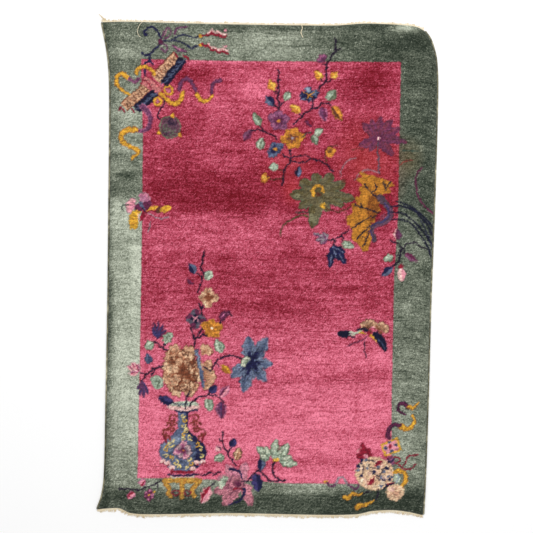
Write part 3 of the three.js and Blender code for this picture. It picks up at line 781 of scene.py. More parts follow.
def upperRightSpray():
    # the flowering branch that hangs over the upper right of the field
    twig([(278, 69.5), (278.4, 76), (277.8, 82), (278.6, 90), (278, 98), (279, 105.5), (280.5, 113)], 1.7)
    twig([(278.4, 81), (281.5, 79.5)], 1.2)
    leaf("marigold", (274, 90.5), (269, 79.5), 8, shade="saffron", rim="ochre")
    twig([(274, 91.5), (277.5, 92.5)], 1.2)
    leaf("slate", (273.5, 105), (266, 96), 8.5, shade="navy")
    twig([(273.5, 105), (278.5, 108)], 1.2)
    leaf("sage", (284, 100.5), (290, 91.5), 8.5, shade="celadon", vein="moss", rim="moss")
    twig([(279.5, 107), (283.5, 102)], 1.3)
    for tip in ((307.5, 86), (299, 95.5), (300.5, 100), (309, 102), (320, 92.5), (318, 97)):
        leaf("slate", (309, 94.5), tip, 6.8, shade="navy", blunt=0.5, frill=0.18)
    leaf("mist", (309, 92), (307, 86.5), 4.5, blunt=0.5)
    oval("ink", (309, 95.5), 6.5, 5.4)
    yarnLine("marigold", [(304, 92), (309, 95), (312.5, 97.5)], 1.1)
    yarnLine("marigold", [(314.5, 92), (309, 95), (307.5, 98)], 1.1)
    leaf("marigold", (321, 79.5), (315.5, 70), 8, shade="saffron", rim="ochre")
    leaf("marigold", (331.5, 78), (338, 71.5), 7.5, shade="saffron", rim="ochre")
    ruffle(np.array([325, 62]), 230, 8, 60, "purple", "mauve", "plum")
    for points, width in (
        ([(335, 38.5), (335.6, 45), (334.8, 51.5), (331, 58), (326.5, 65), (326.8, 73), (326, 81.5),
         (322, 84.5), (318.5, 89)], 1.9),
        ([(335.3, 51.5), (340.5, 49)], 1.5),
        ([(322.5, 64), (326, 66)], 1.2),
        ([(326.5, 82.5), (331.5, 79.5)], 1.4),
        ([(323, 82), (320.5, 78.5)], 1.2),
        ([(314, 97.5), (312.5, 103), (311.8, 109), (305, 113), (301.5, 117), (297, 121), (293.5, 124.5)],
         1.8),
        ([(311.8, 109.5), (318, 107), (322, 103.5), (327, 103), (331, 105.5)], 1.6),
        ([(301.5, 117), (297.5, 112)], 1.2),
    ):
        twig(points, width)
    leaf("sage", (327, 100.5), (336, 90), 10, shade="moss", vein="celadon", rim="moss")
    leaf("plum", (321.5, 107), (325.5, 121.5), 8.5, shade="purple", rim="mauve")
    leaf("marigold", (300.5, 112.5), (290.5, 105), 8, shade="saffron", vein="ochre", rim="ochre")
    leaf("crimson", (305.5, 119), (313, 126.5), 6.5, shade="plum")
    leaf("marigold", (332.5, 106), (342, 121), 9, shade="umber", rim="ochre")
    flower("purple", (278.7, 120.5), 11, 5, 10.5, turn=-90, shade="heather", heart="marigold", heartSize=3.6,
           inner="plum", vein="mauve")
    flower("amber", (292.5, 138), 11.8, 6, 9, turn=-70, shade="marigold", heart="smoke", heartSize=3.2,
           inner="bark", vein="ochre")
    leaf("sage", (260.5, 126), (253.5, 112.5), 8.5, shade="moss", vein="celadon", rim="moss")
    twig([(260, 126), (263, 131)], 1.3)
    leaf("plum", (251.5, 130), (243, 140.5), 8, shade="heather")
    twig([(251.5, 130.5), (257, 130), (263, 130.5), (267, 133), (272.5, 134.5), (276.5, 139.5)], 1.6)
    petals = (((272, 142.5), 8), ((284, 144.5), 7), ((269, 156.5), 10), ((281, 150), 8))
    for tip, width in petals:
        leaf("slate", (276, 149), tip, width, shade="storm", blunt=0.5, frill=0.2)
        leaf("navy", (276, 149), between(np.array([276, 149]), np.array(tip), 0.6), width * 0.5, blunt=0.6)
    oval("marigold", (275.5, 149), 3.8, 3.8)
    leaf("celadon", (259.5, 149.5), (261.5, 137.5), 8.5, shade="sage", vein="moss", rim="moss")
    leaf("sage", (314, 134), (323.5, 129.5), 6.5, shade="celadon", rim="moss")
    leaf("sage", (313, 135), (317, 144.5), 7, shade="moss", rim="moss")
    twig([(301.5, 138), (305.5, 134), (311, 133)], 1.3, wool="pine")
    patch("marigold", [(326, 150.5), (330, 147.5), (335.5, 149.5), (334.5, 153.5), (331, 157), (326.5, 156)])
    oval("umber", (330, 151), 4, 3.4, strength=0.7)
    twig([(338.5, 146), (331, 146.5), (326, 150.5), (325.5, 159), (327, 164)], 1.2, wool="umber")
    for points, width in (
        ([(290, 150), (290.5, 156), (291, 161), (296, 162), (302.5, 163), (308, 160.5), (313, 159),
         (321, 161.5), (327, 165), (333, 171.5)], 1.6),
        ([(291, 158.5), (297.5, 156), (304, 155.5), (309, 156.5), (312, 158.5)], 1.2),
        ([(282, 154), (286.5, 157), (290.5, 160.5)], 1.6),
        ([(290.5, 161), (286, 167), (283.8, 173), (283.5, 179), (282, 185)], 1.9),
    ):
        twig(points, width)
    twig([(283.5, 173), (280, 170), (277, 170)], 1.2, wool="umber")
    patch("sage", [(269, 168), (272, 163.5), (277, 164), (278, 168.5), (273.5, 171)])
    yarnLine("celadon", [(270.5, 167.5), (274, 165.5), (276.5, 167.5)], 1.3)
    leaf("ink", (297, 177), (299.5, 166.5), 6.5, shade="slate")
    patch("ochre", [(261, 175), (265, 173), (268, 177), (266.5, 182.5), (262, 182), (260.8, 178)])
    oval("saffron", (264, 177.5), 4, 5, strength=0.8)
    twig([(267.5, 176.5), (271, 179.5), (277, 179.5), (283, 177.5)], 1.6, wool="umber")


def purpleLotus():
    # narrow muted petals over the field's upper right corner
    heart = np.array([378.7, 139])
    petals = (((358.5, 146), 9), ((362, 122.5), 9), ((371, 119), 8), ((380.5, 115.5), 9), ((392, 119), 9),
              ((401, 128), 9), ((401.5, 138.5), 8), ((408, 142), 6), ((393.5, 156), 9), ((385, 151), 7),
              ((369, 151), 6))
    for tip, width in petals:
        leaf("wine", heart, tip, width, shade="plum", blunt=0.7, frill=0.22, rim="purple", strength=0.86)
        crinkle("heather", heart, tip, width, 3, strength=0.4)
    oval("plum", (379, 138.5), 8, 7)
    oval("blush", (378.7, 138.8), 3.4, 3.4)
    twig([(378.3, 142), (377.8, 149), (378.6, 158), (378.2, 166), (379.3, 173)], 1.5, wool="pewter")
    yarnLine("smoke", [(356, 158.5), (351, 159), (345, 164), (341, 170.5), (340, 176.5)], 1.5, tip=1.2,
             strength=0.7)
    yarnLine("smoke", [(354.5, 180.5), (359, 174.5), (367.5, 169.5), (375, 171.5), (378, 173)], 1.5,
             strength=0.7)
    yarnLine("umber", [(352, 149.8), (358, 149), (364, 149.5)], 0.9, strength=0.7)
    yarnLine("pine", [(403, 150), (412.5, 150.5), (418, 151.5)], 1.3)
    yarnLine("russet", [(399.5, 165), (405, 161.5), (412, 159.8)], 1.2)
    oval("crimson", (395.5, 170), 2, 5)


def greenLotus():
    # broad dusky petals round a gold cup
    heart = np.array([319, 194])
    petals = (((289.5, 195), 13), ((299.5, 180), 13), ((315, 172.5), 13), ((332, 173), 13),
              ((345.5, 182.5), 12), ((355, 199), 12), ((345, 206), 9), ((329, 212), 10), ((299, 208), 11),
              ((312, 228), 13))
    for tip, width in petals:
        leaf("reedGreen", heart, tip, width, shade="olive", blunt=0.5, frill=0.13, rim="moss")
        crinkle("willow", heart, tip, width, 4, strength=0.45)
    oval("reedGreen", (318.5, 194), 30, 23)
    for tip, width in (((305, 186), 9), ((333, 184), 9), ((341, 195), 8), ((303, 199), 8), ((321, 205), 8)):
        leaf("reedGreen", heart, tip, width, blunt=0.55, rim="olive")
        crinkle("willow", heart, tip, width, 3, strength=0.4)
    for tip in ((293, 196), (310.5, 221), (313.5, 224)):
        leaf("willow", between(heart, np.array(tip), 0.72), tip, 5, blunt=0.6)
    oval("olive", (318.5, 193), 9, 9)
    oval("umber", (318.5, 194.5), 4, 4.6)
    ribbon([(313.5, 195), (313, 189.5), (317, 186), (322, 187), (323.5, 192)], 3.4, tip=2.6)
    patch("gold", [(320, 204), (325, 203.5), (325.5, 208), (321.5, 208.5)])
    oval("umber", (343.5, 181), 4.5, 3, strength=0.7)
    for points, width, wool in (
        ([(295.5, 212), (301, 212.5), (307.5, 213)], 1.3, "pine"),
        ([(326, 207), (331, 210.5), (338.5, 211.5), (345, 210), (350.5, 206.5)], 1.5, "umber"),
        ([(341, 209), (347, 214), (345, 220)], 1.2, "russet"),
    ):
        twig(points, width, wool=wool)
    yarnLine("olive", [(308, 216), (301, 215.5), (292.5, 219), (285.5, 223.5), (281.5, 228), (280.5, 236)],
             1.6, tip=1.2)


def goldLeaf():
    # a large crinkled lotus leaf with scalloped edges, its underside turned over on the right
    spine = smoothThrough([(377, 177), (373, 190), (367, 207), (360, 224), (366, 251)], steps=16)
    share = np.linspace(0, 1, len(spine))
    half = np.interp(share, (0, 0.12, 0.3, 0.7, 0.88, 1), (15, 18, 12, 12.5, 9, 3))
    heading = np.gradient(spine, axis=0)
    side = np.stack([-heading[:, 1], heading[:, 0]], axis=1) / np.hypot(*heading.T)[:, None]
    edges = [spine + hand * side * (half * (1 + 0.17 * np.sin(14 * np.pi * share + hand)))[:, None]
             for hand in (-1, 1)]
    patch("amber", np.concatenate([edges[0], edges[1][::-1]]), smooth=False)
    leaf("copper", (375, 192), (370.5, 224), 12)
    for k in range(60):
        # faded and darker places
        spot = (rng.uniform(351, 378), rng.uniform(181, 247))
        if covered[int(spot[1] * cells), int(spot[0] * cells)] > 0.9:
            oval(("marigold", "copper", "ochre")[k % 3], spot, rng.uniform(2, 5), rng.uniform(1.4, 3),
                 turn=rng.uniform(0, 90), strength=0.5)
    veins = (
        ((364, 184), (367.5, 189.5), (372, 193.5), (379.5, 199.5)),
        ((375, 184), (376.5, 188), (372.5, 192)),
        ((383.5, 181.5), (385.5, 187.5)),
        ((391, 182), (388, 185), (385.5, 190)),
        ((355.5, 204.5), (362, 208), (370, 209.5), (379, 213)),
        ((351.5, 228.5), (358, 224.5), (367, 218.5), (377, 216)),
        ((357, 238), (362, 233), (370, 226)),
        ((363, 247), (366.5, 239), (369, 231)),
        ((366, 239), (362, 236)),
        ((362, 207.5), (360.5, 203)),
    )
    for vein in veins:
        yarnLine("ink", vein, 1.3, tip=1)
    patch("crimson", [(384, 196), (389, 194.5), (393, 197), (391.5, 203), (387, 205), (384, 202)],
          strength=0.8)
    fold = [(380, 198), (385.5, 204), (390, 210.5), (389, 218), (383, 223), (376, 224.5), (372, 230),
            (374.5, 240)]
    yarnLine("dusk", fold, 7, tip=4.4)
    yarnLine("heather", [(x + 1, y + 1.4) for x, y in fold[1:-1]], 2, tip=1.4, strength=0.6)
    yarnLine("indigo", [(x - 1.4, y - 0.8) for x, y in fold[1:]], 1.5, tip=1.2)
    crinkle("slate", fold[2], fold[5], 9, 3, strength=0.5)


def reeds():
    # long blades that arch into the right-hand border, with a budding twig under them
    arcs = (
        (1.2, 1.9, ((396, 201), (403, 203), (411, 206.5), (420, 213.5), (427.5, 221), (434, 228.5))),
        (1.9, 1.8, ((391, 207), (399, 205.8), (407.5, 207.5), (415, 211.5), (421, 217.5), (427, 224.5),
         (430, 231), (434, 237.5))),
        (1.3, 1.9, ((390, 212.5), (399, 212.5), (406, 215.5), (414, 221.5), (422, 230), (428, 238.5),
         (432.5, 244.5))),
        (1.3, 1.8, ((392, 219.5), (401, 219.5), (410, 223), (417.5, 230.5), (423, 239.5), (428, 247.5),
         (431.5, 257))),
    )
    for width, tip, points in arcs:
        yarnLine("ink", points, width, tip=tip)
    yarnLine("navy", [(421, 221), (426, 231), (430, 241), (432.5, 250)], 1.4, tip=1.2, strength=0.6)
    yarnLine("plum", [(422.5, 167.5), (418, 172.5), (415.6, 180), (416.5, 189), (418.5, 197), (424, 206),
             (433.5, 214)], 1.7, tip=2)
    for points, width in (
        ([(390.5, 240.5), (396, 243), (401, 246), (404.5, 249.5)], 1.5),
        ([(404.5, 246.5), (409, 243), (414.5, 242.5), (420, 246), (426, 249.5)], 1.4),
        ([(402.5, 248), (400.5, 252.5), (400, 258), (397.5, 262.5), (392.5, 266)], 2),
        ([(400.5, 255.5), (395, 255)], 1.4),
        ([(405, 249), (403, 253.5)], 1.4),
    ):
        twig(points, width)
    leaf("plum", (399, 239.5), (396.5, 229), 6.5, shade="purple")
    yarnLine("blush", [(395.2, 238.5), (394, 234), (395.4, 229.8)], 1.1)
    leaf("plum", (404.5, 253.5), (418, 262), 6.5, shade="heather")
    leaf("sage", (393, 256), (383.5, 260.5), 7.5, shade="celadon", rim="moss")
    leaf("slate", (392.5, 267), (381, 276.5), 7.5, shade="navy")
    oval("crimson", (401, 266.5), 5, 6)
    leaf("rose", (401.5, 268), (401.5, 281), 8, shade="blush", blunt=0.6)
    for points, width in (
        ([(348.5, 229.5), (343, 234), (337.5, 238), (333, 240), (327.5, 240)], 1.6),
        ([(335.5, 239.5), (333, 244), (332, 248.5)], 1.4),
        ([(342, 235), (342.3, 241)], 1.3),
    ):
        twig(points, width)
    for tip in ((313.5, 233.5), (315.5, 240), (320, 243.5), (322.5, 232)):
        leaf("purple", (327.5, 239.5), tip, 4.6, shade="smoke", blunt=0.6)
    leaf("sage", (341.5, 243), (354, 247.5), 8, shade="celadon", vein="moss", rim="moss")
    for tip, width in (((329.5, 268), 8), ((346, 264), 9), ((337, 259), 8), ((345.5, 253), 7)):
        leaf("navy", (333, 246.5), tip, width, blunt=0.7, frill=0.2, lobes=5)
        yarnLine("mist", [(333, 247), between(np.array([333, 247]), np.array(tip), 0.85)], 0.8, strength=0.8)


def rightButterfly():
    for foot, turn in (((368.5, 328.5), 210), ((368.5, 328.5), 255), ((369, 328), 300), ((379, 331), 250),
                       ((379, 330), 300), ((380, 330), 350)):
        ruffle(np.array(foot), turn, 8.6, 40, "tan", "sand", "umber")
    for wool, points, width in (
        ("umber", [(363, 327.5), (367, 328), (371, 331)], 1.8),
        ("bark", [(376, 326), (378.5, 330), (381, 333)], 1.8),
        ("rose", [(371, 327), (374.5, 327.5)], 1.4),
    ):
        yarnLine(wool, points, width)
    leaf("ink", (338, 334.5), (351.5, 334), 7.6, blunt=0.5)
    for wool, points, width in (
        ("ink", [(349, 335.5), (354, 337.5)], 1.5),
        ("celadon", [(350, 332), (353.5, 333.5), (358, 332.5), (361, 331)], 2),
        ("cream", [(350.5, 335.5), (354.5, 334.5)], 1.4),
        ("ink", [(357.5, 330), (362, 329.3), (366.5, 330.3), (368.5, 332)], 2.4),
    ):
        yarnLine(wool, points, width)
    yarnLine("gold", [(360.5, 332.5), (365.5, 334)], 2, tip=1.4)
    oval("crimson", (369.5, 333.5), 4.6, 5, turn=-40)
    leaf("ink", (373.5, 331.5), (386, 352), 8.4, bend=-1.5, blunt=0.5)
    yarnLine("storm", [(378, 339), (382, 343.5), (384.5, 348.5)], 1.4)
    yarnLine("gold", [(371, 335.5), (374, 339), (376, 342.5)], 2.6, tip=1.6)
    yarnLine("plum", [(367, 336.5), (362, 340), (355, 343), (347.5, 346)], 1.2, tip=0.8)
    twig([(365, 341), (364.2, 347), (364.8, 352), (366, 358)], 1.2)


def luckyTreasures():
    # a ribboned tablet, a round box, a peach and a wave in the lower right corner
    ribbon([(408, 407), (404, 403.5), (400, 404), (398.3, 407.5), (399.5, 411.5), (405.5, 414.5)], 3.8, tip=2,
           wool="plum", shade="night")
    ribbon([(408.5, 406.5), (413.5, 408), (415.5, 405.5), (419, 402.5)], 3.6, tip=2)
    ribbon([(400.5, 426), (406, 429), (411, 427.5), (414, 422), (412.5, 415.5)], 5, tip=2.6)
    ribbon([(388.5, 438), (388, 431.5), (391, 426.5), (394.5, 424.5), (399.5, 425.5)], 3.6, wool="plum",
           shade="night")
    patch("gold", [(380.5, 444.5), (397.5, 437), (401.5, 450.5), (384.5, 457)], smooth=False)
    patch("rose", [(383, 445.5), (396, 440), (398.8, 449.3), (386, 454.3)], smooth=False)
    for spot in ((389.5, 442.5), (385.5, 448), (396, 445), (392, 451)):
        oval("slate", spot, 3.8, 2.8)
        oval("navy", (spot[0] + 0.6, spot[1] + 0.5), 1.6, 1.6)
    oval("crimson", (390.5, 446.8), 3.4, 4)
    patch("heather", [(387, 458), (393, 456.5), (394.5, 463), (390, 465)])
    yarnLine("navy", [(387.5, 460), (391, 462), (394, 459)], 1.4)
    for line in (((394.5, 462.5), (399.5, 465.5), (404, 468.8), (409, 469.5), (413, 467), (415.5, 464)),
                 ((403, 466), (406.5, 461.5), (408, 456.5), (412, 455.5), (418, 454.5)),
                 ((394, 457), (398, 457.5), (400, 461), (396.5, 463)), ((389, 459), (385, 457))):
        yarnLine("crimson", line, 1.4)
    for tip, width in (((356, 454.5), 6), ((362.5, 443), 7.5), ((370, 448), 7), ((373, 455), 5)):
        leaf("crimson", (364, 459), tip, width, blunt=0.5)
    oval("rose", (366, 456), 6, 4.4)
    yarnLine("blush", [(357, 452), (361, 447.5)], 0.8, strength=0.7)
    oval("sand", (374.5, 473.5), 38.5, 33)
    for k in range(34):
        # its mottled lid
        angle, reach = rng.uniform(0, 2 * np.pi), np.sqrt(rng.uniform(0, 1))
        spot = (374.5 + 17 * reach * np.cos(angle), 473.5 + 14 * reach * np.sin(angle))
        oval(("blush", "tan", "cream")[k % 3], spot, rng.uniform(3, 7), rng.uniform(2, 4),
             turn=rng.uniform(0, 90), strength=0.4)
    for root, tip, width in (((374, 466), (383, 460.5), 4.4), ((367.5, 485), (375.5, 477), 4.4),
                             ((385, 487), (395, 481.5), 3.4)):
        leaf("crimson", root, tip, width, frill=0.2)
    sprigs = (
        ((363, 466), (364.5, 470), (362, 473), (362, 476)),
        ((368, 465), (371, 468), (374, 467), (376, 470), (379, 469)),
        ((370, 471), (374, 472.5), (376.5, 476), (381, 475), (383, 470), (385.5, 468)),
        ((376, 476), (380, 479), (384, 480)),
        ((367, 460), (373, 461.5), (375.5, 463)),
    )
    for sprig in sprigs:
        twig(sprig, 1.1, wool="ink")
    for spot, size in (((362, 460), 4), ((358, 466.5), 3.8), ((361.5, 475.5), 4.6), ((387.5, 468.5), 4.6),
                       ((383.5, 479.5), 3.6), ((389, 479.5), 3.2), ((374, 472), 3), ((386, 484.5), 3.2),
                       ((361.5, 463.5), 3)):
        oval("navy", spot, size, size * 0.85)
    for spot in ((358, 470), (366, 460), (381, 477.5), (391.5, 477), (381, 485.5), (367, 468), (388, 476),
                 (384, 472), (378, 467)):
        oval("slate", spot, 3.2, 2.6)
    ribbon([(395, 472), (400, 470.5), (405, 474), (405.5, 480), (402.5, 485.5)], 3.4)
    oval("celadon", (397, 478), 6.5, 9)
    yarnLine("mist", [(396, 474), (398.5, 477), (396.5, 481.5)], 1.2)
    oval("beige", (394.8, 492), 18.4, 16.8)
    for turn in range(20, 380, 45):
        way = np.array([np.cos(np.radians(turn)), np.sin(np.radians(turn))])
        foot = np.array([395, 492.5])
        yarnLine("russet", [foot + way * 1.5, foot + way * 4 + way[::-1] * 0.8, foot + way * 7], 0.9, tip=0.6,
                 strength=0.4)
    oval("blush", (391, 489), 6, 4.4, strength=0.6)
    yarnLine("ink", [(382.5, 489.5), (386, 486.5), (393, 483.5)], 1.6)
    ribbon([(344.5, 496.5), (348, 498), (352, 493.5), (357, 494.5), (362, 493)], 3.8, tip=2.4)
    ribbon([(357, 508), (360.5, 505), (366, 504.5), (373.5, 500.5)], 4.6, tip=2.4)
    twig([(362.5, 493.5), (367, 491.5), (371, 491.5)], 1.3)
    twig([(378, 488.5), (377.5, 494), (375.5, 500.5)], 1.4)
    oval("gold", (326, 481.5), 4.6, 2.6)
    for wool, points in (
        ("purple", [(327, 482.5), (330.5, 486), (335, 485)]),
        ("smoke", [(336, 483), (339, 478), (343, 477.5), (347.5, 483)]),
        ("purple", [(348.5, 484), (353, 488), (357.5, 487.5), (358.5, 484)]),
    ):
        yarnLine(wool, points, 2)


motifs = [tasselledCords, pictureScroll, upperRibbons, leftButterfly, vaseSpray, peony, vase, lowerSprigs,
          paleLotus, upperRightSpray, purpleLotus, greenLotus, goldLeaf, reeds, rightButterfly,
          luckyTreasures]
for motif in motifs:
    motif()
print("motifs inlaid:", round(float(covered.mean()) * 100, 1), "percent of the chart")

# The ground's tones, from deep to light, and how they change over the rug; the deep and light ends carry
# painted shade and painted light as well as the wool's own unevenness
ground = {
    "field": ((130, 25, 43), (179, 67, 90), (228, 116, 141)),
    "border": ((64, 72, 60), (122, 128, 112), (184, 190, 172)),
    "fieldCorners": ((141, 59), (240, 61), (401, 62), (400, 110), (398, 215), (394, 280), (391.6, 400),
                     (391.6, 484), (285, 483), (255, 480.6), (165, 478), (137.5, 478), (140.3, 340),
                     (141.8, 240), (143, 145)),
    "speckle": 0.27,
    "clump": 0.09,
    "streak": 0.13,
    "blotch": 0.08,
    "paintedGrooveShade": 0.1,
    "edgeStray": 0.35,
    "borderGrain": 0.78,  # how much of the field's unevenness the border has
    "sidesMeet": (200, 330),  # squares across, where the right side's tones take over from the left's
    "upperEnd": (50, 80),  # squares down, where the sides' tones take over from the upper end's
    "lowerEnd": (482, 496),  # squares down, where the lower end's take over from them
    "leftRim": (103, 112),  # squares across, over which the left edge is painted darker, as shade where it slopes down to the floor
    "paintedRimShade": 0.25,
}

# Painted light and shade along the field and along each side of the border, from the nap's lean and the rug's
# gentle waves, as tones from 0, deep, to 1, light
fieldShading = {
    "down": (58, 68, 90, 120, 150, 172, 190, 206, 220, 238, 252, 275, 300, 320, 343, 362, 378, 398, 412, 484),
    "tone": (0.5, 0.48, 0.55, 0.5, 0.32, 0.16, 0.1, 0.16, 0.5, 0.58, 0.46, 0.38, 0.42, 0.54, 0.72, 0.84, 0.74,
             0.94, 1.0, 1.0),
}
leftShading = {
    "down": (20, 60, 110, 150, 190, 205, 228, 245, 300, 320, 328, 345, 400, 450, 484, 500, 515),
    "tone": (0.36, 0.36, 0.5, 0.46, 0.45, 0.85, 0.9, 0.7, 0.84, 0.74, 0.78, 1.0, 0.98, 0.8, 0.5, 0.3, 0.16),
}
rightShading = {
    "down": (20, 60, 100, 150, 185, 230, 280, 330, 380, 420, 470, 495, 515),
    "tone": (0.02, 0.06, 0.12, 0.14, 0.14, 0.26, 0.38, 0.4, 0.46, 0.44, 0.4, 0.3, 0.1),
}
upperShading = {
    "across": (95, 140, 200, 230, 300, 340, 380, 440),
    "tone": (0.3, 0.34, 0.42, 0.46, 0.56, 0.36, 0.04, 0.02),
}
lowerShading = {
    "across": (95, 140, 200, 260, 295, 310, 330, 440),
    "tone": (0.22, 0.08, 0.0, 0.06, 0.06, 0.0, -0.1, -0.16),
}

# Painted light and shade where the nap leans another way or the rug rises in gentle waves: at, half sizes,
# change of tone
napShadingPatches = [
    ((200, 72), (17, 8), -0.42),
    ((230, 62), (90, 3), 0.3),
    ((180, 75), (9, 8), -0.3),
    ((190, 115), (20, 9), -0.28),
    ((372, 82), (40, 26), -0.5),
    ((200, 184), (60, 9), -0.1),
    ((168, 248), (25, 4), 0.25),
    ((166, 260), (18, 4), -0.25),
    ((227, 259), (10, 8), -0.2),
    ((336, 378), (60, 6), -0.25),
    ((261, 422), (16, 10), -0.14),
    ((345, 433), (46, 6), -0.16),
    ((192, 80), (34, 8), -0.2),
    ((176, 128), (28, 14), -0.2),
    ((258, 90), (20, 12), 0.25),
    ((350, 125), (52, 26), -0.18),
    ((228, 163), (26, 9), 0.28),
    ((215, 200), (46, 12), -0.26),
    ((275, 308), (42, 10), -0.28),
    ((295, 258), (48, 8), -0.18),
    ((375, 215), (20, 20), -0.2),
    ((320, 463), (62, 9), -0.22),
    ((225, 466), (40, 10), -0.2),
    ((245, 211), (20, 8), -0.22),
    ((372, 206), (20, 16), -0.24),
    ((264, 92), (9, 9), 0.22),
    ((268, 462), (34, 10), -0.2),
    ((368, 226), (22, 14), -0.2),
    ((270, 418), (120, 7), -0.12),
]
# Painted light and shade on the border, from the nap and the slopes near its edges: at, half sizes, change of
# tone
borderShadingPatches = [
    ((205, 488), (100, 8), 0.34),
    ((318, 489), (34, 10), 0.5),
    ((372, 486), (30, 9), 0.22),
    ((414, 448), (12, 46), 0.16),
    ((127, 493), (13, 6), -0.25),
    ((130, 112), (14, 30), 0.34),
    ((112, 60), (8, 30), -0.14),
    ((152, 44), (22, 10), 0.1),
    ((240, 44), (60, 14), 0.12),
    ((107, 330), (7, 170), -0.45),
    ((125, 52), (24, 7), 0.4),
    ((125, 148), (24, 6), 0.4),
    ((122, 191), (26, 8), -0.3),
    ((136, 248), (12, 5), 0.3),
    ((300, 27), (74, 7), -0.4),
    ((225, 27), (30, 6), -0.25),
    ((330, 42), (44, 8), -0.2),
    ((406, 28), (18, 5), 0.8),
    ((400, 432), (12, 40), 0.3),
    ((128, 175), (13, 4), -0.5),
    ((410, 44), (26, 8), -0.25),
    ((428, 250), (8, 200), -0.12),
    ((102, 337), (6, 36), -0.25),
    ((137, 267), (7, 22), 0.3),
    ((412, 190), (14, 30), -0.12),
    ((109, 330), (6, 60), -0.25),
    ((135, 315), (7, 40), 0.2),
]
tintPatches = [
    {"at": (368, 165), "size": (36, 48), "tint": (180, 66, 48), "strength": 0.34},
    {"at": (292, 192), "size": (12, 14), "tint": (214, 72, 60), "strength": 0.3},
    {"at": (410, 158), "size": (13, 20), "tint": (112, 84, 46), "strength": 0.3},
    {"at": (292, 166), "size": (30, 22), "tint": (206, 80, 70), "strength": 0.25},
]


def softOval(across, down, at, size):
    return np.clip(1.25 - np.hypot((across - at[0]) / size[0], (down - at[1]) / size[1]), 0, 1)


def smoothNoise(shape, rowStep, columnStep):
    # random values on a coarse net, evened out in between
    lattice = rng.normal(size=(shape[0] // rowStep + 3, shape[1] // columnStep + 3))
    rows, columns = np.arange(shape[0]) / rowStep, np.arange(shape[1]) / columnStep
    r, c = rows.astype(int), columns.astype(int)
    fr, fc = easeIn(rows - r, 0, 1)[:, None], easeIn(columns - c, 0, 1)[None, :]
    near = between(lattice[r][:, c], lattice[r][:, c + 1], fc)
    far = between(lattice[r + 1][:, c], lattice[r + 1][:, c + 1], fc)
    return between(near, far, fr)


def sampleChart(layer, across, down):
    # a value between the four nearest cells
    x = np.clip(across * cells - 0.5, 0, chartCells - 1.001)
    y = np.clip(down * cells - 0.5, 0, chartCells - 1.001)
    i, j = x.astype(int), y.astype(int)
    fx, fy = x - i, y - j
    if layer.ndim == 3:
        fx, fy = fx[..., None], fy[..., None]
    upper = between(layer[j, i], layer[j, i + 1], fx)
    lower = between(layer[j + 1, i], layer[j + 1, i + 1], fx)
    return between(upper, lower, fy)


def shadeOf(shades, tone):
    deep, mid, light = (np.array(shade) / 255 for shade in shades)
    share = np.clip(tone, -0.25, 1.25)[..., None]
    return np.where(share < 0.5, between(deep, mid, share * 2), between(mid, light, share * 2 - 1))


def linearColour(colour):
    return np.where(colour <= 0.04045, colour / 12.92, ((np.maximum(colour, 0) + 0.055) / 1.055) ** 2.4)


def fieldDistance(across, down):
    path = np.array(ground["fieldCorners"], float)
    return outlineDistance(path, across, down)


def patternAt(across, down, toField, coarse, mottle):
    # the wool's colour at places on the chart; toField is the distance to the field's edge, negative inside
    # painted light and shade of the nap and the rug's waves, along the field and round the border
    tone = np.interp(down, fieldShading["down"], fieldShading["tone"])
    for at, size, change in napShadingPatches:
        tone = tone + change * softOval(across, down, at, size)
    sideShare = easeIn(across, *ground["sidesMeet"])
    sides = between(np.interp(down, leftShading["down"], leftShading["tone"]),
                    np.interp(down, rightShading["down"], rightShading["tone"]), sideShare)
    upper = np.interp(across, upperShading["across"], upperShading["tone"])
    lower = np.interp(across, lowerShading["across"], lowerShading["tone"])
    borderTone = between(upper, sides, easeIn(down, *ground["upperEnd"]))
    borderTone = between(borderTone, lower, easeIn(down, *ground["lowerEnd"]))
    for at, size, change in borderShadingPatches:
        borderTone = borderTone + change * softOval(across, down, at, size)
    # painted shade along the left edge, where it slopes down to the floor
    borderTone = borderTone - ground["paintedRimShade"] * (1 - easeIn(across, *ground["leftRim"]))
    tone = tone + coarse
    borderTone = borderTone + coarse * ground["borderGrain"]
    fieldColour = shadeOf(ground["field"], tone)
    borderColour = shadeOf(ground["border"], borderTone)
    inField = np.clip(0.5 - chart["crispness"] * toField, 0, 1)
    colour = between(borderColour, fieldColour, inField[..., None])
    for patchTint in tintPatches:
        share = softOval(across, down, patchTint["at"], patchTint["size"]) * patchTint["strength"]
        colour = between(colour, np.array(patchTint["tint"]) / 255, share[..., None])
    motif = sampleChart(inlay, across, down)
    over = sampleChart(covered, across, down)
    motif = motif * (1 + mottle)[..., None]
    return np.clip(motif + colour * (1 - over)[..., None], 0, 1)


def toChart(x, y):
    return x / chart["square"] + chart["middle"][0], chart["middle"][1] - y / chart["square"]


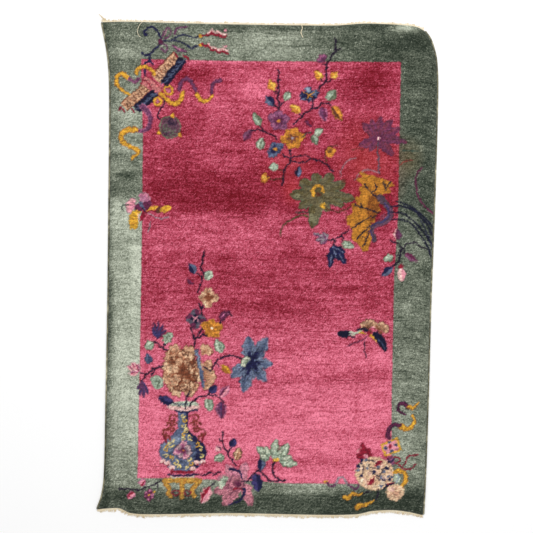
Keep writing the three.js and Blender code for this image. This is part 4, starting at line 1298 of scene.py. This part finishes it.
def meshFrom(name, points, quads, triangles=None, colours=None, normals=None):
    # points in millimetres on the rug's own plane; colours as the eye sees them, from 0 to 1
    mesh = bpy.data.meshes.new(name)
    triangles = np.zeros((0, 3), int) if triangles is None else triangles
    placed = (points + np.array([shiftX, shiftY, 0])) * metre
    corners = np.concatenate([quads.ravel(), triangles.ravel()]).astype(np.int32)
    starts = np.concatenate([np.arange(len(quads)) * 4, len(quads) * 4 + np.arange(len(triangles)) * 3])
    mesh.vertices.add(len(placed))
    mesh.vertices.foreach_set("co", placed.astype(np.float32).ravel())
    mesh.loops.add(len(corners))
    mesh.loops.foreach_set("vertex_index", corners)
    mesh.polygons.add(len(starts))
    mesh.polygons.foreach_set("loop_start", starts.astype(np.int32))
    mesh.update(calc_edges=True)
    mesh.shade_smooth()
    if colours is not None:
        layer = mesh.attributes.new("yarnColour", "FLOAT_COLOR", "POINT")
        rgba = np.ones((len(placed), 4), np.float32)
        rgba[:, :3] = linearColour(colours)
        layer.data.foreach_set("color", rgba.ravel())
    low, high = placed.min(axis=0), placed.max(axis=0)
    flat = (placed - low) / np.maximum(high - low, 1e-6)
    uv = mesh.uv_layers.new(name="OFBake")
    uv.data.foreach_set("uv", flat[corners, :2].astype(np.float32).ravel())
    if normals is not None:
        mesh.normals_split_custom_set_from_vertices(normals.astype(np.float32))
    piece = bpy.data.objects.new(name, mesh)
    bpy.context.scene.collection.objects.link(piece)
    return piece


def gridQuads(rows, columns):
    first = (np.arange(rows - 1)[:, None] * columns + np.arange(columns - 1)[None, :]).ravel()
    return np.stack([first, first + 1, first + columns + 1, first + columns], axis=1)


# The cut pile, laid in bands of rows that meet without a seam
pile = {
    "columns": 466,
    "rows": 704,
    "bands": 4,
    "rimShare": 0.46,  # of the thickness, right at the edge
    "rimWidth": 14,
    "skirtHeight": 1.2,
    "tuftHeight": 0.6,
    "creases": 420,
    "creaseDepth": 0.6,
    "carving": 0.3,
    "raggedness": 0.45,  # squares by which a knot strays from the chart
    "wander": 0.5,
    "roundness": 2.2,
    "mottle": {"speckle": 0.1, "clump": 0.1, "streak": 0.07, "crease": 0.16},
    "creaseShade": 0.42,
    "relief": {"speckle": 0.8, "clump": 0.3, "streak": 0.55},
    "reliefRange": (-1.6, 1.1),
    "reliefFade": 8,
    "motifEdge": 1.6,
    "fieldEdge": {"reach": 1.2, "strength": 0.7},
    "skirtShade": 0.7,
    "creaseLengths": (12, 110),
    "creaseDrift": 0.12,
}


def weftCreases(shape):
    # short lines where the rows of knots part, deepest in their middle
    depth = np.zeros(shape)
    for _ in range(pile["creases"]):
        row = rng.integers(4, shape[0] - 4)
        start = rng.integers(0, shape[1] - 20)
        length = min(int(rng.integers(*pile["creaseLengths"])), shape[1] - start)
        wander = np.round(np.cumsum(rng.normal(size=length)) * pile["creaseDrift"]).astype(int)
        rows = np.clip(row + wander, 0, shape[0] - 1)
        share = np.sin(np.linspace(0, np.pi, length)) * rng.uniform(0.4, 1)
        depth[rows, start + np.arange(length)] = np.maximum(depth[rows, start + np.arange(length)], share)
    return depth


def makePile():
    shape = (pile["rows"], pile["columns"])
    across = np.linspace(0, 1, shape[1])[None, :] * np.ones((shape[0], 1))
    along = np.linspace(0, 1, shape[0])[:, None] * np.ones((1, shape[1]))
    x, y = placeAt(across[0][None, :], along[:, :1], slabInset)
    toSide = np.minimum(across, 1 - across) * rug["width"]
    toEnd = np.minimum(along, 1 - along) * rug["length"]
    toRim = np.minimum(toSide, toEnd)
    inRim = 1 - np.clip(toRim / pile["rimWidth"], 0, 1)
    profile = 1 - (1 - pile["rimShare"]) * inRim ** pile["roundness"]
    lift = liftAt(across[0][None, :], along[:, :1])
    creases = weftCreases(shape)
    speckle = rng.normal(size=shape)
    clump = smoothNoise(shape, 2, 2)
    streak = smoothNoise(shape, 1, 5)
    blotch = smoothNoise(shape, 14, 18) + 0.9 * smoothNoise(shape, 4, 44)
    tone = ground["speckle"] * speckle + ground["clump"] * clump + ground["streak"] * streak
    tone = tone + ground["blotch"] * blotch
    share = pile["mottle"]
    mottle = share["speckle"] * speckle + share["clump"] * clump + share["streak"] * streak
    # painted shade in the weft creases, on the motifs' wool and on the ground
    mottle = mottle - share["crease"] * creases
    tone = tone - pile["creaseShade"] * creases
    chartX, chartY = toChart(x, y)
    strayX = rng.uniform(-1, 1, shape) * pile["raggedness"] + smoothNoise(shape, 3, 3) * pile["wander"]
    strayY = rng.uniform(-1, 1, shape) * pile["raggedness"] + smoothNoise(shape, 3, 3) * pile["wander"]
    toField = fieldDistance(chartX, chartY) + strayX * ground["edgeStray"]
    colour = patternAt(chartX + strayX, chartY + strayY, toField, tone, mottle)
    edges = np.hypot(*np.gradient(sampleChart(covered, chartX, chartY))) * pile["motifEdge"]
    fieldEdge = np.clip(1 - np.abs(toField) / pile["fieldEdge"]["reach"], 0, 1)
    edges = np.clip(edges + fieldEdge * pile["fieldEdge"]["strength"], 0, 1)
    # painted shade in the carved grooves round the motifs and along the field's edge
    colour = np.clip(colour * (1 - ground["paintedGrooveShade"] * edges)[..., None], 0, 1)
    share = pile["relief"]
    relief = share["speckle"] * speckle + share["clump"] * clump + share["streak"] * streak
    detail = pile["tuftHeight"] * relief - pile["creaseDepth"] * creases - pile["carving"] * edges
    detail = np.clip(detail, *pile["reliefRange"])
    z = lift + rug["thickness"] * profile + detail * easeIn(toRim, 0, pile["reliefFade"])
    points = np.stack([x, y, z], axis=-1)

    def padded(layer):
        return np.pad(layer, ((1, 1), (1, 1), (0, 0)), mode="edge")

    points, colour = padded(points), padded(colour)
    onRim = np.ones(points.shape[:2], bool)
    onRim[1:-1, 1:-1] = False
    points[onRim, 2] = pile["skirtHeight"]
    # painted shade on the pile's outer sides
    colour[onRim] *= pile["skirtShade"]
    sideways = np.gradient(points, axis=1)
    upwards = np.gradient(points, axis=0)
    normals = np.cross(sideways, upwards)
    normals /= np.maximum(np.linalg.norm(normals, axis=-1, keepdims=True), 1e-9)
    rows, columns = points.shape[:2]
    edgesOfBands = np.linspace(0, rows - 1, pile["bands"] + 1).astype(int)
    made = []
    for k, (first, last) in enumerate(zip(edgesOfBands[:-1], edgesOfBands[1:])):
        band = slice(first, last + 1)
        quads = gridQuads(last + 1 - first, columns)
        made.append(meshFrom(f"pile_band_{k + 1}", points[band].reshape(-1, 3), quads,
                             colours=colour[band].reshape(-1, 3), normals=normals[band].reshape(-1, 3)))
    return made


pileBands = makePile()
print("pile knotted:", [piece.name for piece in pileBands])

# The woven foundation under the pile; the backs of the knots show the pattern on its underside
foundation = {
    "columns": 120,
    "rows": 180,
    "height": 3.2,
    "inset": 0.8,
    "backRib": 0.2,
    "grain": 0.08,
    "backShade": (0.85, 0.1),  # how much of the front's colour the backs keep, and how much paler they are
}


def makeFoundation():
    columns, rows = foundation["columns"], foundation["rows"]
    across = np.linspace(0, 1, columns)[None, :]
    along = np.linspace(0, 1, rows)[:, None]
    x, y = placeAt(across, along, slabInset + foundation["inset"])
    y = y + foundation["inset"] * (1 - 2 * along)
    lift = liftAt(across, along)
    tone = foundation["grain"] * rng.normal(size=x.shape)
    chartX, chartY = toChart(x, y)
    # the backs take the front's colours, its painted light and shade included
    colour = patternAt(chartX, chartY, fieldDistance(chartX, chartY), tone, tone)
    under = np.stack([x, y, lift + foundation["backRib"] * rng.uniform(0, 1, x.shape)], axis=-1)
    top = np.stack([x, y, lift + foundation["height"]], axis=-1)
    points = np.concatenate([top.reshape(-1, 3), under.reshape(-1, 3)])
    flat = gridQuads(rows, columns)
    below = rows * columns
    rim = np.concatenate([
        np.arange(columns),
        np.arange(1, rows) * columns + columns - 1,
        (rows - 1) * columns + np.arange(columns - 1)[::-1],
        (np.arange(rows - 1)[::-1] * columns)[:-1],
    ])
    following = np.roll(rim, -1)
    walls = np.stack([rim + below, following + below, following, rim], axis=1)
    quads = np.concatenate([flat, flat[:, ::-1] + below, walls])
    keep, paler = foundation["backShade"]
    backs = colour.reshape(-1, 3) * keep + paler
    return meshFrom("foundation", points, quads, colours=np.concatenate([backs, backs]))


foundationPiece = makeFoundation()
print("foundation woven")


def tubesAlong(paths, radii, sides):
    # round yarns: paths are (yarns, steps, 3) and radii (yarns, steps) or (yarns, steps, sides)
    yarns, steps = paths.shape[:2]
    heading = np.gradient(paths, axis=1)
    heading /= np.maximum(np.linalg.norm(heading, axis=-1, keepdims=True), 1e-9)
    aside = np.array([1.0, 0, 0]) - heading * heading[..., :1]
    aside /= np.linalg.norm(aside, axis=-1, keepdims=True)
    above = np.cross(aside, heading)
    turn = np.arange(sides) / sides * 2 * np.pi
    radii = radii[..., None] * np.ones(sides) if radii.ndim == 2 else radii
    ring = aside[:, :, None] * np.cos(turn)[:, None] + above[:, :, None] * np.sin(turn)[:, None]
    points = paths[:, :, None] + ring * radii[..., None]
    caps = paths[:, [0, -1]]
    every = np.concatenate([points.reshape(yarns, -1, 3), caps], axis=1)
    perYarn = steps * sides + 2
    s = np.arange(sides)
    around = (s + 1) % sides
    k = np.arange(steps - 1)[:, None] * sides
    quads = np.stack([k + s, k + sides + s, k + sides + around, k + around], axis=-1).reshape(-1, 4)
    last = (steps - 1) * sides
    near = np.stack([np.full(sides, perYarn - 2), s, around], axis=1)
    far = np.stack([np.full(sides, perYarn - 1), last + around, last + s], axis=1)
    start = (np.arange(yarns) * perYarn)[:, None, None]
    quads = (start + quads).reshape(-1, 4)
    triangles = (start + np.concatenate([near, far])).reshape(-1, 3)
    return every.reshape(-1, 3), quads, triangles, perYarn


# The cord along each side, overcast with wool that has worn down to the cotton in places
selvedge = {
    "rings": 1460,
    "sides": 10,
    "wrap": 5.0,  # millimetres from one turn of the wool to the next
    "ridge": 0.09,
    "worn": ((9, 0.22), (40, 0.16)),  # rings from one change to the next, and its strength
    "tone": 0.4,
    "paintedWrapShade": 0.22,
    "grain": 0.08,
    "wools": ((84, 84, 66), (128, 124, 98), (190, 184, 156)),
}


def makeSelvedge(name, side):
    along = np.linspace(0, 1, selvedge["rings"])
    x, y = placeAt(np.float64(0 if side < 0 else 1), along, rug["sideCord"])
    turn = np.arange(selvedge["sides"]) / selvedge["sides"]
    wave = np.cos(2 * np.pi * (y[:, None] / selvedge["wrap"] + turn[None, :]))
    radius = rug["sideCord"] * (1 - selvedge["ridge"] * (1 - wave) / 2)
    ends = easeIn(np.minimum(along, 1 - along) * rug["length"], 0, 3)[:, None]
    path = np.stack([x, y, np.full(len(x), float(rug["sideCord"]))], axis=-1)
    points, quads, triangles, _ = tubesAlong(path[None], (radius * between(0.55, 1, ends))[None],
                                             selvedge["sides"])
    worn = sum(smoothNoise((len(along), 1), step, 1) * strength for step, strength in selvedge["worn"])
    # painted shade in the grooves between the wraps and painted light on their crests
    tone = selvedge["tone"] + worn + selvedge["paintedWrapShade"] * wave
    tone = tone + selvedge["grain"] * rng.normal(size=wave.shape)
    colour = shadeOf(selvedge["wools"], tone).reshape(-1, 3)
    colour = np.concatenate([colour, colour[:1], colour[-1:]])
    points[:, 2] = np.maximum(points[:, 2], 0.0)
    return meshFrom(name, points, quads, triangles, colours=colour)


sideCords = [makeSelvedge("overcast_left", -1), makeSelvedge("overcast_right", 1)]
print("sides overcast")

# The flat-woven ends and their worn warp ends. The lower end has longer ones.
fringe = {
    "upper": {"end": 1, "web": 3.2, "locks": 110, "shortest": 3, "longest": 9, "width": 7.2},
    "lower": {"end": -1, "web": 5, "locks": 130, "shortest": 5, "longest": 13, "width": 7.2},
    "webHeight": 2.4,
    "sway": 0.55,
    "tipShade": 0.55,
    "root": 1.6,
    "yarns": 4,  # in each lock
    "yarnRadius": 0.95,
    "sides": 6,
    "steps": 6,
    "yarnLengths": (0.72, 1.0),  # shares of the lock's length
    "curl": 0.9,
    "splay": 0.35,
    "grain": 0.13,
    "warpRidge": 0.14,
    "tuftYarns": {"count": 5, "gap": 0.55, "lengths": (0.7, 1.0), "bow": 1.8, "lean": 1.5,
                  "radii": (0.6, 0.3)},
    "fuzz": {"count": 760, "reach": (0.25, 1.05), "sway": 3.5, "curl": 1.4, "radius": 0.28},
    "cotton": ((176, 148, 104), (228, 208, 170), (248, 234, 204)),
}


def scatter(seed):
    # a number from 0 to 1 that looks random, the same one as the solids use
    value = np.sin(seed * 12.9898 + 4.1414) * 43758.5453
    return value - np.floor(value)


def edgePlaces(end, across):
    along = np.array([[1.0 if end > 0 else 0.0]])
    x, y = placeAt(np.atleast_1d(across)[None, :], along, slabInset)
    return x[0], y[0]


def makeFringe(name, look, looseYarns=(), tuft=()):
    end = look["end"]
    steps, sides = fringe["steps"], fringe["sides"]
    # locks of warp ends that spread as they lie
    index = np.arange(look["locks"])
    across = (index + 0.5 + 0.5 * (scatter(index) - 0.5)) / look["locks"]
    worn = scatter(index * 3.7 + end)
    length = between(look["shortest"], look["longest"], worn**2)
    lean = (scatter(index * 5.3 + 2 * end) - 0.5) * 2 * fringe["sway"] * length
    rootX, rootY = edgePlaces(end, across)
    rootY = rootY + end * (rug["seam"] + look["web"] - fringe["root"])
    share = np.linspace(0, 1, steps)
    paths, radii = [], []
    for k in range(fringe["yarns"]):
        aside = (k / (fringe["yarns"] - 1) - 0.5) * look["width"]
        own = length * rng.uniform(*fringe["yarnLengths"], len(length))
        bow = rng.normal(size=len(length))[:, None] * fringe["curl"] * np.sin(np.pi * share)[None, :]
        spread = 1 + fringe["splay"] * share[None, :] * rng.uniform(-1, 1, len(length))[:, None]
        x = rootX[:, None] + aside * spread + lean[:, None] * share + bow
        y = rootY[:, None] + end * (fringe["root"] + own[:, None]) * share
        radius = fringe["yarnRadius"] * between(1.0, 0.5, share**2) * np.ones_like(x)
        z = radius + (0.7 if k % 2 else 0.05) * (1 - share) ** 1.5
        paths.append(np.stack([x, y, z * np.ones_like(x)], axis=-1))
        radii.append(radius)
    parts = [tubesAlong(np.concatenate(paths), np.concatenate(radii), sides)]
    # single fibres that have come out of the yarns
    fuzz = fringe["fuzz"]
    across = rng.uniform(0.004, 0.996, fuzz["count"])
    startX, startY = edgePlaces(end, across)
    startY = startY + end * (rug["seam"] + look["web"] * 0.5)
    reach = rng.uniform(*fuzz["reach"], fuzz["count"])[:, None] * look["longest"] * 0.9
    sway = rng.normal(size=(fuzz["count"], 1)) * fuzz["sway"]
    x = startX[:, None] + sway * share
    x = x + rng.normal(size=(fuzz["count"], 1)) * fuzz["curl"] * np.sin(3 * share)
    y = startY[:, None] + end * reach * share
    z = 0.6 + 1.1 * np.sin(np.pi * share) * rng.uniform(0, 1, (fuzz["count"], 1))
    radius = np.full(x.shape, fuzz["radius"])
    parts.append(tubesAlong(np.stack([x, y, z], axis=-1), radius, 4))
    for yarn in looseYarns:
        route = smoothThrough(yarn["path"], steps=8)
        for ply in range(2):
            twist = np.linspace(0, len(route) * 0.55, len(route)) + ply * np.pi
            off = yarn["thickness"] * 0.22
            line = route + np.stack([off * np.cos(twist), 0 * twist, off * np.sin(twist)], axis=-1)
            parts.append(tubesAlong(line[None], np.full((1, len(line)), yarn["thickness"] * 0.27), sides))
    for lock in tuft:
        base, baseY = edgePlaces(end, np.array([lock["fromSide"] / rug["width"]]))
        baseY = baseY + end * (rug["seam"] + look["web"] - fringe["root"])
        t = np.linspace(0, 1, 12)
        yarns = fringe["tuftYarns"]
        for k in range(yarns["count"]):
            own = lock["length"] * rng.uniform(*yarns["lengths"])
            bow = rng.normal() * yarns["bow"]
            lean = lock["lean"] + rng.normal() * yarns["lean"]
            x = base[0] + (k - yarns["count"] // 2) * yarns["gap"] + lean * t**2 + bow * np.sin(np.pi * t)
            y = baseY[0] + own * t
            radius = between(*yarns["radii"], t)
            z = radius + 0.5 * np.sin(np.pi * t) * rng.uniform(0, 1)
            parts.append(tubesAlong(np.stack([x, y, z], axis=-1)[None], radius[None], sides))
    # the flat-woven strip, ridged by its warps
    places = np.linspace(0.0, 1.0, 900)
    x, y = edgePlaces(end, places)
    near, far = rug["seam"], rug["seam"] + look["web"]
    ridge = fringe["warpRidge"] * np.cos(np.arange(len(places)) * np.pi)
    profile = [(near, 0.0), (near, 0.8), (between(near, far, 0.5), 1.0), (far, 0.72), (far + 0.25, 0.3),
               (far, 0.0)]
    rings = np.stack([
        np.stack([x, y + end * out, fringe["webHeight"] * high + ridge * (high > 0.2)], axis=-1)
        for out, high in profile
    ], axis=1)
    rings = rings[:: -end] if end > 0 else rings
    count, around = rings.shape[:2]
    s = np.arange(around)
    k = np.arange(count - 1)[:, None] * around
    quads = np.stack([k + s, k + (s + 1) % around, k + around + (s + 1) % around, k + around + s], axis=-1)
    fan = np.array([[0, i + 1, i] for i in range(1, around - 1)])
    fanEnd = np.array([[0, i, i + 1] for i in range(1, around - 1)]) + (count - 1) * around
    parts.append((rings.reshape(-1, 3), quads.reshape(-1, 4), np.concatenate([fan, fanEnd]), around))
    points, quads, triangles, offset = [], [], [], 0
    for partPoints, partQuads, partTriangles, _ in parts:
        points.append(partPoints)
        quads.append(partQuads + offset)
        triangles.append(partTriangles + offset)
        offset += len(partPoints)
    points = np.concatenate(points)
    points[:, 2] = np.maximum(points[:, 2], 0.0)
    edgeY = edgeAt(outline["upper" if end > 0 else "lower"], points[:, 0])
    outward = easeIn(np.abs(points[:, 1]) - np.abs(edgeY), look["web"] * 0.7,
                     look["web"] + look["longest"] * 0.8)
    patchy = 0.16 * np.sin(points[:, 0] * 0.021 + end) * np.sin(points[:, 0] * 0.057)
    tone = 1.0 - fringe["tipShade"] * outward + fringe["grain"] * rng.normal(size=len(points)) + patchy
    colour = shadeOf(fringe["cotton"], tone)
    return meshFrom(name, points, np.concatenate(quads), np.concatenate(triangles), colours=colour)


looseYarns = [
    {"thickness": 3, "path": ((122, 895.2, 1.4), (122, 896.2, 8), (123, 893, 14.2), (127, 880, 14.4),
                              (122, 864, 14.4), (129, 846, 14.4))},
    {"thickness": 2, "path": ((-462, 905.2, 1.4), (-462, 906.8, 8), (-464, 903, 13.6), (-476, 890, 13.8),
                              (-483, 870, 13.8), (-480, 856, 13.8), (-472, 846, 13.8))},
]
cornerTuft = [
    {"fromSide": 6.5, "length": 22, "lean": -9},
    {"fromSide": 11, "length": 30, "lean": -24},
    {"fromSide": 15.5, "length": 17, "lean": -6},
    {"fromSide": 20, "length": 12, "lean": 5},
]
fringes = [
    makeFringe("fringe_top", fringe["upper"], looseYarns, cornerTuft),
    makeFringe("fringe_bottom", fringe["lower"]),
]
print("fringes made")


def addNode(tree, kind, **settings):
    node = tree.nodes.new(kind)
    for key, value in settings.items():
        setattr(node, key, value)
    return node


# What each yarn looks like close up: sizes in ridges to the metre, dark and light as shares of its colour
yarnLooks = {
    "pile_wool": {"fibre": 620, "dark": 0.7, "light": 1.19, "bump": 0.0008, "knot": 330, "roughness": 0.95,
                  "sheen": 0.18, "specular": 0.12},
    "back_wool": {"fibre": 500, "dark": 0.8, "light": 1.15, "bump": 0.0006, "knot": 300, "roughness": 0.95,
                  "sheen": 0.1, "specular": 0.12},
    "overcast_wool": {"fibre": 900, "dark": 0.75, "light": 1.2, "bump": 0.0004, "knot": 500,
                      "roughness": 0.92, "sheen": 0.15, "specular": 0.15},
    "warp_cotton": {"fibre": 1100, "dark": 0.82, "light": 1.15, "bump": 0.0003, "knot": 700,
                    "roughness": 0.88, "sheen": 0.1, "specular": 0.2},
}


def yarnMaterial(name):
    look = yarnLooks[name]
    material = bpy.data.materials.new(name)
    material.use_nodes = True
    tree = material.node_tree
    shader = tree.nodes["Principled BSDF"]
    shader.inputs["Roughness"].default_value = look["roughness"]
    shader.inputs["Specular IOR Level"].default_value = look["specular"]
    shader.inputs["Sheen Weight"].default_value = look["sheen"]
    shader.inputs["Sheen Roughness"].default_value = 0.5
    place = addNode(tree, "ShaderNodeTexCoord")
    yarn = addNode(tree, "ShaderNodeAttribute", attribute_name="yarnColour")
    fibres = addNode(tree, "ShaderNodeTexNoise")
    fibres.inputs["Scale"].default_value = look["fibre"]
    fibres.inputs["Detail"].default_value = 3
    fibres.inputs["Roughness"].default_value = 0.65
    shade = addNode(tree, "ShaderNodeMapRange")
    shade.inputs["From Min"].default_value = 0.3
    shade.inputs["From Max"].default_value = 0.7
    shade.inputs["To Min"].default_value = look["dark"]
    shade.inputs["To Max"].default_value = look["light"]
    dyed = addNode(tree, "ShaderNodeMix", data_type="RGBA", blend_type="MULTIPLY")
    dyed.inputs["Factor"].default_value = 1
    knots = addNode(tree, "ShaderNodeTexVoronoi")
    knots.inputs["Scale"].default_value = look["knot"]
    relief = addNode(tree, "ShaderNodeMath", operation="SUBTRACT")
    bump = addNode(tree, "ShaderNodeBump")
    bump.inputs["Strength"].default_value = 0.8
    bump.inputs["Distance"].default_value = look["bump"]
    link = tree.links.new
    link(place.outputs["Object"], fibres.inputs["Vector"])
    link(place.outputs["Object"], knots.inputs["Vector"])
    link(fibres.outputs["Fac"], shade.inputs["Value"])
    link(yarn.outputs["Color"], dyed.inputs["A"])
    link(shade.outputs["Result"], dyed.inputs["B"])
    link(dyed.outputs["Result"], shader.inputs["Base Color"])
    link(fibres.outputs["Fac"], relief.inputs[0])
    link(knots.outputs["Distance"], relief.inputs[1])
    link(relief.outputs["Value"], bump.inputs["Height"])
    link(bump.outputs["Normal"], shader.inputs["Normal"])
    return material


yarns = {name: yarnMaterial(name) for name in yarnLooks}
finishes = [(piece, "pile_wool") for piece in pileBands] + [(foundationPiece, "back_wool")]
finishes += [(piece, "overcast_wool") for piece in sideCords] + [(piece, "warp_cotton") for piece in fringes]
for piece, finish in finishes:
    piece.data.materials.append(yarns[finish])
print("materials set")

# The camera looks straight down, and the floor and lights are plain
studio = {
    "lens": 100,
    "sensor": 36,
    "view": chart["squares"] * chart["square"],  # millimetres across the picture at the pile
    "floor": 14,  # metres
    "floorDrop": 0.001,
    "sky": 0.7,
    "lampPower": 124,
    "lampSize": 3.0,
    "lampAt": (0.8, 2.2, 4.2),
}


def makeStudio():
    scene = bpy.context.scene
    scene.view_settings.view_transform = "Standard"
    camera = bpy.data.cameras.new("camera")
    camera.lens = studio["lens"]
    camera.sensor_width = studio["sensor"]
    cameraPiece = bpy.data.objects.new("camera", camera)
    overX = (chart["squares"] / 2 - chart["middle"][0]) * chart["square"] + shiftX
    overY = (chart["middle"][1] - chart["squares"] / 2) * chart["square"] + shiftY
    height = studio["view"] / 2 / (studio["sensor"] / 2 / studio["lens"]) + rug["thickness"]
    cameraPiece.location = (overX * metre, overY * metre, height * metre)
    scene.collection.objects.link(cameraPiece)
    scene.camera = cameraPiece
    lamp = bpy.data.lights.new("studio_lamp", "AREA")
    lamp.energy = studio["lampPower"]
    lamp.size = studio["lampSize"]
    lampPiece = bpy.data.objects.new("studio_lamp", lamp)
    lampPiece.location = studio["lampAt"]
    lampPiece.rotation_mode = "QUATERNION"
    lampPiece.rotation_quaternion = lampPiece.location.to_track_quat("Z", "Y")
    scene.collection.objects.link(lampPiece)
    world = bpy.data.worlds.new("sky")
    world.use_nodes = True
    world.node_tree.nodes["Background"].inputs["Color"].default_value = (1, 1, 1, 1)
    world.node_tree.nodes["Background"].inputs["Strength"].default_value = studio["sky"]
    scene.world = world
    bpy.ops.mesh.primitive_plane_add(size=studio["floor"], location=(0, 0, -studio["floorDrop"]))
    floor = bpy.context.object
    floor.name = "floor"
    paint = bpy.data.materials.new("floor_paint")
    paint.use_nodes = True
    shader = paint.node_tree.nodes["Principled BSDF"]
    shader.inputs["Base Color"].default_value = (0.98, 0.98, 0.98, 1)
    shader.inputs["Roughness"].default_value = 0.9
    shader.inputs["Specular IOR Level"].default_value = 0.1
    floor.data.materials.append(paint)


makeStudio()

# Every piece rides on the rug's one body and stands for its solid
standsFor = [(foundationPiece, "rug_body"), (sideCords[0], "selvedge_left"), (sideCords[1], "selvedge_right"),
             (fringes[0], "fringe_upper"), (fringes[1], "fringe_lower")]
for piece, finish in finishes:
    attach(piece, "root")
for piece, node in standsFor:
    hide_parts(node)

triangles = {o.name: sum(len(p.vertices) - 2 for p in o.data.polygons) for o, _ in finishes}
print("triangles:", sum(triangles.values()), triangles)
